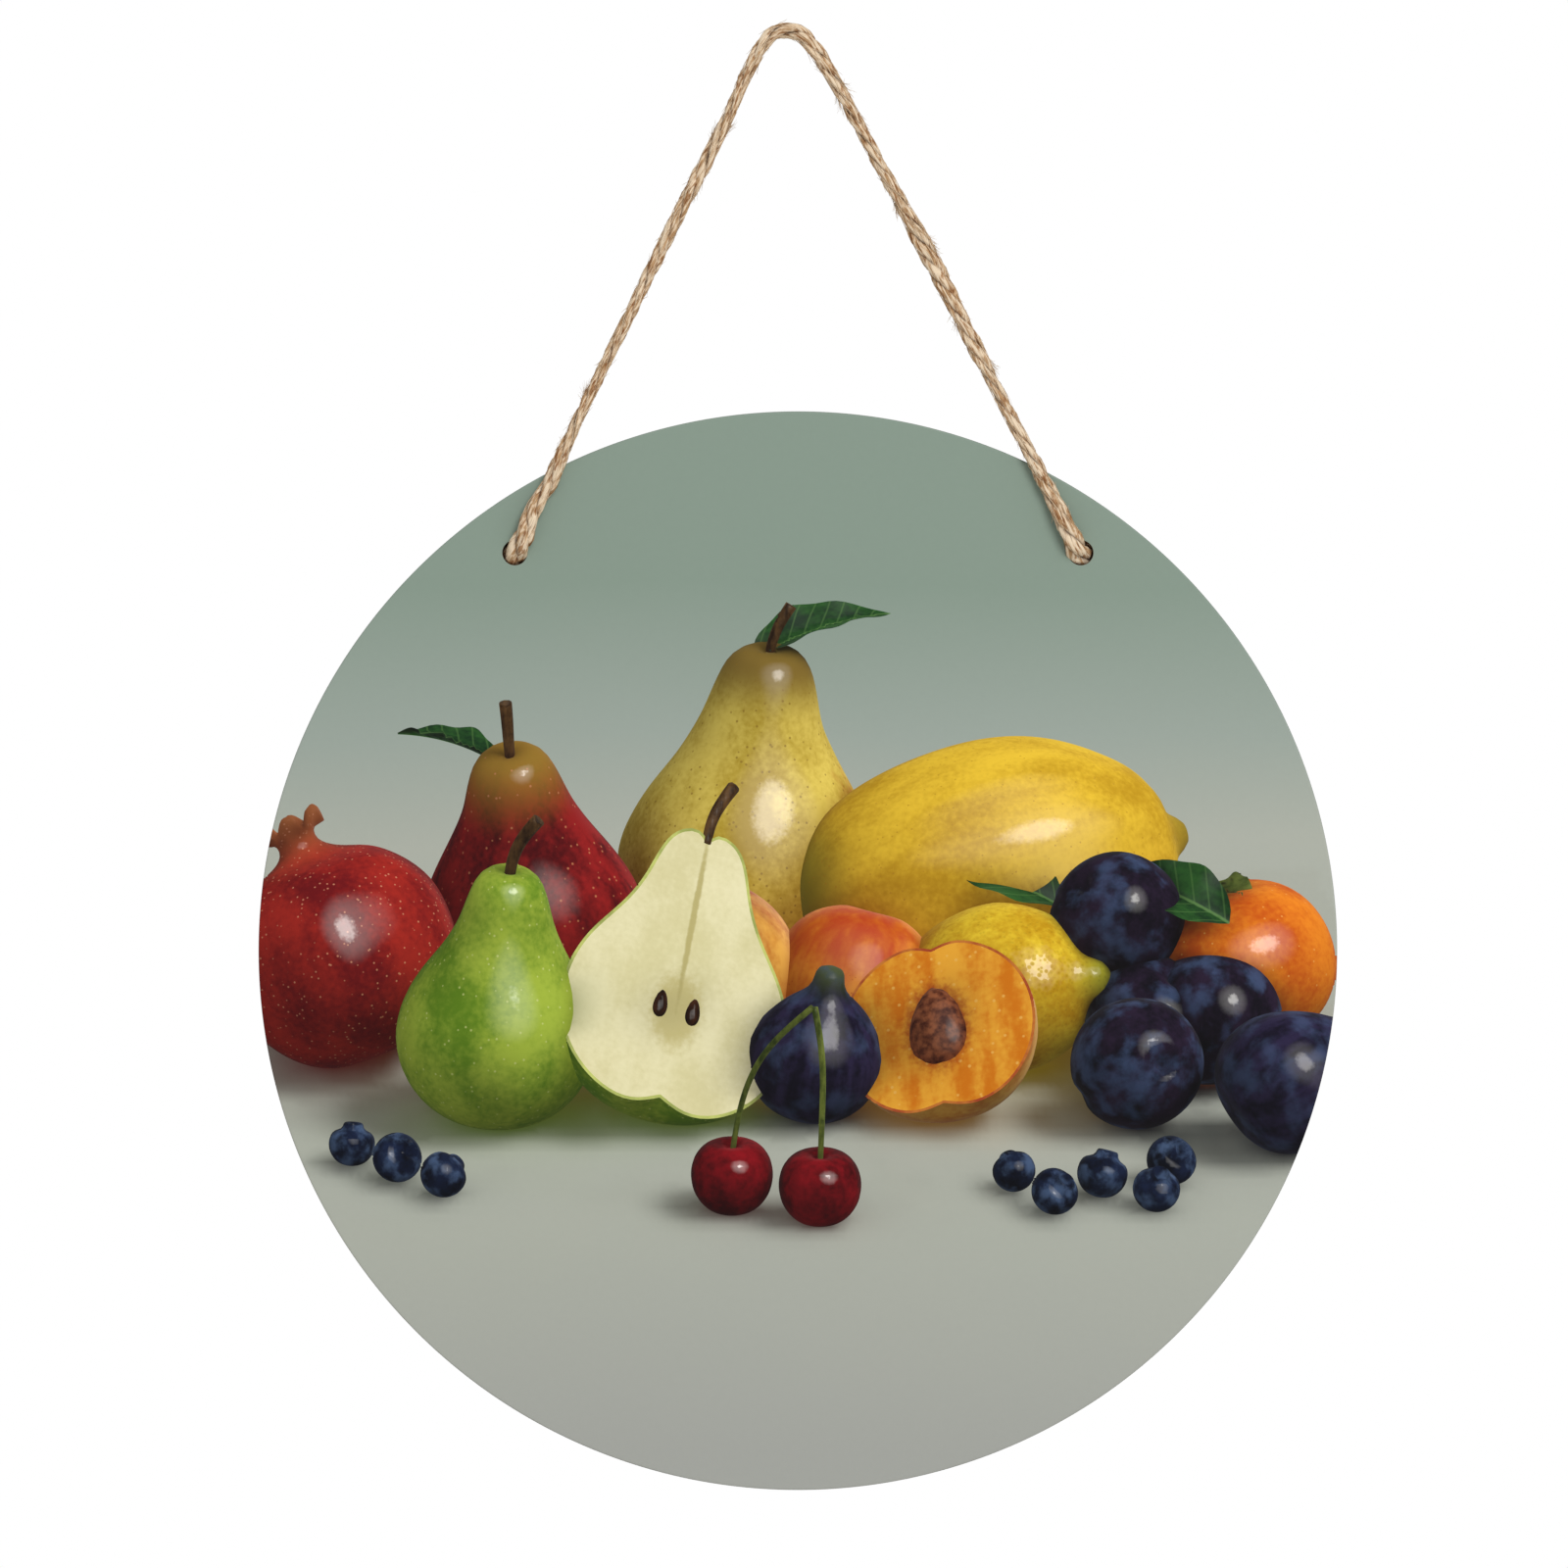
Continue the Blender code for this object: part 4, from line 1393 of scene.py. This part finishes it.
def rope_scales(strand):
    """How thick the rope is at each of the strand's points, along the board and off it.

    Off the board it hardly grows over its full size, except inside the holes, to stay clear of the board.
    """
    scales = []
    depths = []
    just_out = BOARD_LOW.y - 0.0005
    for place in strand.points:
        side, share = leg_share(Vector(place))
        scale = np.interp(share, *zip(*THICKNESS[side]))
        inside = place[1] > just_out and share < HOLE_SHARE
        scales.append(scale)
        depths.append(scale if inside else min(scale, MOST_OFF_BOARD))
    even = np.ones(EVENED_POINTS) / EVENED_POINTS
    padded = [np.pad(sizes, EVENED_POINTS // 2, mode="edge") for sizes in (scales, depths)]
    return [np.convolve(sizes, even, mode="valid") for sizes in padded]


def above_board(point):
    """The point, lifted off the board's face if it would lie in it."""
    flat = point - BOARD_CENTRE
    face = BOARD_THICKNESS / 2 + 0.0001
    if math.hypot(flat.x, flat.z) < BOARD_RADIUS + 0.001 and abs(flat.y) < face:
        return Vector((point.x, math.copysign(face, flat.y), point.z))
    return point


def loose_fibres(bm, strand, scales, count, chance, settings, kind, tuft=None):
    """Adds fibres of one kind that lie loosely along the rope and lift off it at their ends.

    A tuft is the share of the strand where the fibres stand together, and -1 or 1 for the side that they
    are on.
    """
    layers = bm.verts.layers.float_vector
    place_layer = layers.get("fibre_place") or layers.new("fibre_place")
    whole = strand.lengths[-1]
    sideways = level_sideways(strand)
    parts = kind["parts"]
    for _ in range(count):
        length = chance.uniform(*kind["length"])
        start = chance.uniform(FIBRE_FREE_END, whole - FIBRE_FREE_END - length)
        turn = chance.uniform(0, FULL_TURN)
        twist = -FULL_TURN / settings.lay_length * chance.uniform(-0.1, 0.8)
        lifts = [chance.uniform(0.0, kind["lift"]) for _ in range(2)]
        lifts[chance.randrange(2)] *= 0.2
        if tuft:
            start = tuft[0] * whole + chance.uniform(-0.0015, 0.0015)
            i = strand.station(start)
            aside = sideways[i] * tuft[1]
            outward = math.atan2(aside.dot(strand.up[i]), aside.dot(strand.across[i]))
            turn = outward + chance.uniform(-0.6, 0.6)
            lifts = [0.0, chance.uniform(0.0006, 0.0022)]
        thick = settings.hair_thickness * chance.uniform(*kind["thick"])
        points = []
        for part in range(parts + 1):
            share = part / parts
            i = strand.station(start + length * share)
            lift = lifts[0] * (1 - share) ** 2.2 + lifts[1] * share**2.2
            rise = settings.rope_radius * scales[i] * kind["lie"] + lift
            spot = Vector(strand.ring_point(i, turn + twist * length * share, rise))
            points.append(above_board(spot))
        hair = Strand(points)
        offset = chance.uniform(0, 900)

        def note(vert, i, turn, offset=offset):
            vert[place_layer] = (offset + i, math.cos(turn), math.sin(turn))

        def radius_at(i, turn, thick=thick):
            return thick * (1 - 0.6 * abs(2 * i / parts - 1) ** 3)

        add_tube(bm, hair, kind["sides"], radius_at, note)


# Add-on


class BoardSettings(bpy.types.PropertyGroup):
    """The printed board."""

    print_grid: FloatProperty(
        name="Print grid", description="Spacing of the points that carry the print", default=0.00125,
        unit="LENGTH",
    )
    room_rays: IntProperty(
        name="Room rays", description="Directions in which each point of the picture looks for light",
        default=72,
    )
    lamp_rays: IntProperty(
        name="Lamp rays", description="Directions in which each point of the picture looks for the lamp",
        default=20,
    )
    backdrop_top: FloatVectorProperty(
        name="Backdrop, top", description="Colour of the picture's backdrop at its top", subtype="COLOR",
        default=paint("8a9b8e"),
    )
    backdrop_middle: FloatVectorProperty(
        name="Backdrop, middle", description="Colour of the backdrop above the fruit", subtype="COLOR",
        default=paint("9ea9a0"),
    )
    table_pale: FloatVectorProperty(
        name="Table, pale", description="Colour of the table and the backdrop's foot", subtype="COLOR",
        default=paint("b0b4a9"),
    )
    table_low: FloatVectorProperty(
        name="Table, near", description="Colour of the table's near end", subtype="COLOR",
        default=paint("a8aaa4"),
    )
    bare_dark: FloatVectorProperty(
        name="Bare board, dark", description="Darker fibres of the bare back", subtype="COLOR",
        default=paint("94714c"),
    )
    bare_light: FloatVectorProperty(
        name="Bare board, light", description="Paler fibres of the bare back", subtype="COLOR",
        default=paint("c5a277"),
    )


class RopeSettings(bpy.types.PropertyGroup):
    """The jute rope, its knots and its stray hairs."""

    rope_radius: FloatProperty(
        name="Rope radius", description="Radius of the whole rope", default=ROPE_DIAMETER / 2, unit="LENGTH"
    )
    ply_radius: FloatProperty(
        name="Ply radius", description="Radius of one ply", default=0.00122, unit="LENGTH"
    )
    ply_offset: FloatProperty(
        name="Ply offset", description="From the rope's middle to a ply's middle", default=0.00092,
        unit="LENGTH",
    )
    lay_length: FloatProperty(
        name="Lay length", description="Length in which a ply goes once round the rope", default=0.02283,
        unit="LENGTH",
    )
    fibre_lay: FloatProperty(
        name="Fibre lay", description="Length in which a fibre goes once round its ply", default=0.030,
        unit="LENGTH",
    )
    hair_thickness: FloatProperty(
        name="Hair thickness", description="Radius of a stray hair", default=0.00006, unit="LENGTH"
    )
    hairs: IntProperty(name="Hairs", description="Short stray hairs along the rope", default=420)
    long_fibres: IntProperty(name="Long fibres", description="Long loose fibres along the rope", default=170)
    light: FloatVectorProperty(
        name="Pale jute", description="Palest fibres", subtype="COLOR", default=paint("f4dec0")
    )
    middle: FloatVectorProperty(
        name="Jute", description="Most of the fibres", subtype="COLOR", default=paint("bc9469")
    )
    # the dark tone is used for the dark hairlines, and also for the painted shade in the hollows between the
    # plies
    dark: FloatVectorProperty(
        name="Dark jute", description="Fibres in the hollows", subtype="COLOR", default=paint("4a2c17")
    )


class StudioSettings(bpy.types.PropertyGroup):
    """The floor, the lights and the camera."""

    floor_drop: FloatProperty(
        name="Floor drop", description="How far the floor is below the nail", default=0.60, unit="LENGTH"
    )
    floor_radius: FloatProperty(
        name="Floor radius", description="Radius of the floor", default=2.5, unit="LENGTH"
    )
    key_power: FloatProperty(
        name="Key light", description="Power of the soft front light", default=51.0, unit="POWER"
    )
    room_light: FloatProperty(
        name="Room light", description="Strength of the light from all round", default=0.45
    )


class SIGN_OT_studio(bpy.types.Operator):
    """Adds the pale floor, the soft lights and the camera at the photograph's place"""

    bl_idname = "sign.studio"
    bl_label = "Studio"

    def execute(self, context):
        """Makes the stage."""
        settings = context.scene.sign_studio
        scene = context.scene
        scene.view_settings.view_transform = "Standard"
        bm = bmesh.new()
        bmesh.ops.create_circle(bm, cap_ends=True, segments=96, radius=settings.floor_radius)
        bmesh.ops.translate(bm, verts=bm.verts[:], vec=(0, 0, -settings.floor_drop))
        finish = Finish("pale_floor", 0.7, 0.3)
        spread = finish.clouds(finish.object_place(), 3.0, 3.0)
        finish.sets(Base_Color=finish.mix(paint("e6e5e2"), paint("eeedea"), spread))
        new_piece("floor", bm, [finish.material])
        self.light_room(scene, settings)
        self.add_camera(scene)
        return {"FINISHED"}

    def light_room(self, scene, settings):
        """A white background, even light from all round, and one large soft light at the upper right."""
        world = bpy.data.worlds.new("studio")
        world.use_nodes = True
        tree = world.node_tree
        seen = tree.nodes.new("ShaderNodeLightPath")
        strength = tree.nodes.new("ShaderNodeMix")
        strength.inputs[2].default_value = settings.room_light
        strength.inputs[3].default_value = 1.0
        tree.links.new(seen.outputs["Is Camera Ray"], strength.inputs[0])
        tree.nodes["Background"].inputs["Color"].default_value = (1, 1, 1, 1)
        tree.links.new(strength.outputs[0], tree.nodes["Background"].inputs["Strength"])
        scene.world = world
        lamp = bpy.data.lights.new("soft_key", "AREA")
        lamp.energy = settings.key_power
        lamp.shape = "DISK"
        lamp.size = KEY_WIDTH
        light = bpy.data.objects.new("soft_key", lamp)
        light.location = KEY_PLACE
        light.rotation_euler = (BOARD_CENTRE - light.location).to_track_quat("-Z", "Y").to_euler()
        scene.collection.objects.link(light)

    def add_camera(self, scene):
        """The camera, level and square to the board, at the photograph's framing."""
        middle = FRAME_PIXELS / 2
        lens = bpy.data.cameras.new("camera")
        lens.sensor_width = SENSOR_WIDTH
        lens.lens = lens.sensor_width * CAMERA_DISTANCE / (FRAME_PIXELS * MM_PER_PIXEL / 1000)
        camera = bpy.data.objects.new("camera", lens)
        x = BOARD_CENTRE.x + (middle - BOARD_CENTRE_PIXEL[0]) * MM_PER_PIXEL / 1000
        z = BOARD_CENTRE.z + (BOARD_CENTRE_PIXEL[1] - middle) * MM_PER_PIXEL / 1000
        camera.location = (x, -CAMERA_DISTANCE, z)
        camera.rotation_euler = (math.pi / 2, 0, 0)
        scene.collection.objects.link(camera)
        scene.camera = camera


class SIGN_OT_board(bpy.types.Operator):
    """Builds the round board, with its print, its eased edges, its two holes and its bare back"""

    bl_idname = "sign.board"
    bl_label = "Printed board"

    def execute(self, context):
        """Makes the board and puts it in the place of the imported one."""
        settings = context.scene.sign_board
        rough = 1
        still = StillLife(settings.room_rays // rough, settings.lamp_rays // rough)
        set_table(still)
        still.light()
        kinds = ["backdrop", *KINDS]
        bm = print_mesh(still, settings.print_grid * 1000 * rough)
        tell_faces(bm, still, kinds)
        stand = Matrix.Rotation(math.pi / 2, 4, "X") @ Matrix.Scale(0.001, 4)
        bmesh.ops.transform(bm, matrix=stand, verts=bm.verts[:])
        bmesh.ops.translate(bm, verts=bm.verts[:], vec=FRONT * (BOARD_THICKNESS / 2))
        edge_slot = len(kinds)
        add_edges(bm, edge_slot, edge_slot + 1, edge_slot + 2)
        bmesh.ops.translate(bm, verts=bm.verts[:], vec=BOARD_CENTRE)
        bmesh.ops.recalc_face_normals(bm, faces=bm.faces[:])
        tones = [settings.table_low, settings.table_pale, settings.backdrop_middle, settings.backdrop_top]
        finishes = [backdrop_ink(*[tuple(tone) for tone in tones])]
        finishes += [fruit_ink(kind) for kind in KINDS]
        finishes.append(bare_finish("board_edge", paint("4a453e"), paint("6c655b"), 0.6))
        finishes.append(bare_finish("hole_wall", paint("2c1c10"), paint("5a3d24"), 0.8))
        finishes.append(bare_finish("bare_back", tuple(settings.bare_dark), tuple(settings.bare_light), 0.75))
        board = new_piece("printed_board", bm, finishes, sharp_degrees=25)
        map_board(board.data)
        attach(board, "root")
        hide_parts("board")
        return {"FINISHED"}


class SIGN_OT_rope(bpy.types.Operator):
    """Lays the jute rope through both holes and over the nail's place, with its knots and stray hairs"""

    bl_idname = "sign.rope"
    bl_label = "Jute rope"

    def execute(self, context):
        """Makes the rope, the knots and the hairs."""
        settings = context.scene.sign_rope
        tones = [tuple(settings.light), tuple(settings.middle), tuple(settings.dark)]
        finish = jute_finish("jute", *tones)
        fine = Strand(smooth_line(rope_route(), FINE_STEP))
        strand = settled(fine.respaced(PLY_STATION))
        scales, depths = rope_scales(strand)
        bm = bmesh.new()
        lay_plies(bm, strand, scales, depths, settings, phase=ROPE_PHASE)
        bmesh.ops.recalc_face_normals(bm, faces=bm.faces[:])
        rope = new_piece("jute_rope", bm, [finish])
        knots = []
        hair_bm = bmesh.new()
        chance = random.Random(5)
        loose_fibres(hair_bm, strand, scales, settings.long_fibres, chance, settings, LONG_FIBRE)
        loose_fibres(hair_bm, strand, scales, settings.hairs, chance, settings, SHORT_HAIR)
        for tuft in TUFTS:
            loose_fibres(hair_bm, strand, scales, TUFT_FIBRES, chance, settings, SHORT_HAIR, tuft)
        for side in SIDES:
            line = Strand(smooth_line(knot_route(side), FINE_STEP)).respaced(PLY_STATION)
            sizes = (NECK, NECK, KNOT_STRAND / ROPE_DIAMETER)
            squeezed = np.interp(line.lengths, (0, NECK_END, KNOT_START), sizes)
            bm = bmesh.new()
            lay_plies(bm, line, squeezed, squeezed, settings, phase=NECK_PHASES[side])
            bmesh.ops.recalc_face_normals(bm, faces=bm.faces[:])
            knots.append(new_piece("jute_knot_" + side, bm, [finish]))
            count = settings.hairs // KNOT_HAIRS_SHARE
            loose_fibres(hair_bm, line, squeezed, count, chance, settings, SHORT_HAIR)
            self.fray_tail(hair_bm, line, chance, settings)
        bmesh.ops.recalc_face_normals(hair_bm, faces=hair_bm.faces[:])
        hair_finish = jute_finish("jute_hairs", paint("f3ddbd"), paint("dcb88a"), paint("a57c4f"))
        hairs = new_piece("rope_fibres", hair_bm, [hair_finish])
        for piece, node in zip([rope, *knots, hairs], ["hanging_rope", "knot_left", "knot_right", None]):
            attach(piece, "root")
            if node:
                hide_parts(node)
        line = [list(point) for point in fine.respaced(CORD_STATION).points]
        return {"FINISHED"}

    def fray_tail(self, bm, line, chance, settings):
        """Adds a short brush of fibres at the cut end of a knot's tail."""
        place_layer = bm.verts.layers.float_vector.get("fibre_place")
        way = Vector(line.ways[-1])
        for _ in range(FRAY_FIBRES):
            turn = chance.uniform(0, FULL_TURN)
            reach = settings.rope_radius * 0.8 * math.sqrt(chance.random())
            start = Vector(line.ring_point(len(line.points) - 1, turn, reach)) - way * 0.001
            out = (start - Vector(line.points[-1])).normalized()
            length = chance.uniform(0.0022, 0.0042)
            end = start + (way + out * chance.uniform(0, 0.5)).normalized() * length
            hair = Strand([start, start.lerp(end, 0.5), end])

            def note(vert, i, turn):
                vert[place_layer] = (i, math.cos(turn), math.sin(turn))

            add_tube(bm, hair, 3, lambda i, turn: settings.hair_thickness * 1.6 * (1 - 0.2 * i), note)


class SIGN_PT_panel(bpy.types.Panel):
    """Lists the sign's pieces and their sizes and colours"""

    bl_idname = "SIGN_PT_panel"
    bl_label = "Wall sign"
    bl_space_type = "VIEW_3D"
    bl_region_type = "UI"
    bl_category = "Wall sign"

    def draw(self, context):
        """Draws one box for each operator, with its settings."""
        for operator, name in PANEL_ROWS:
            box = self.layout.box()
            box.operator(operator.bl_idname)
            settings = getattr(context.scene, name)
            for key in settings.__annotations__:
                box.prop(settings, key)


PANEL_ROWS = ((SIGN_OT_studio, "sign_studio"), (SIGN_OT_rope, "sign_rope"), (SIGN_OT_board, "sign_board"))
SETTINGS = {"sign_studio": StudioSettings, "sign_rope": RopeSettings, "sign_board": BoardSettings}
CLASSES = (*SETTINGS.values(), SIGN_OT_studio, SIGN_OT_rope, SIGN_OT_board, SIGN_PT_panel)


def register():
    """Adds the classes and their settings to Blender."""
    for item in CLASSES:
        bpy.utils.register_class(item)
    for name, group in SETTINGS.items():
        setattr(bpy.types.Scene, name, PointerProperty(type=group))


def unregister():
    """Takes the classes and their settings out of Blender."""
    for name in SETTINGS:
        delattr(bpy.types.Scene, name)
    for item in reversed(CLASSES):
        bpy.utils.unregister_class(item)


def main():
    """Dresses the sign."""
    register()
    bpy.ops.sign.studio()
    bpy.ops.sign.rope()
    bpy.ops.sign.board()


if __name__ == "__main__":
    main()
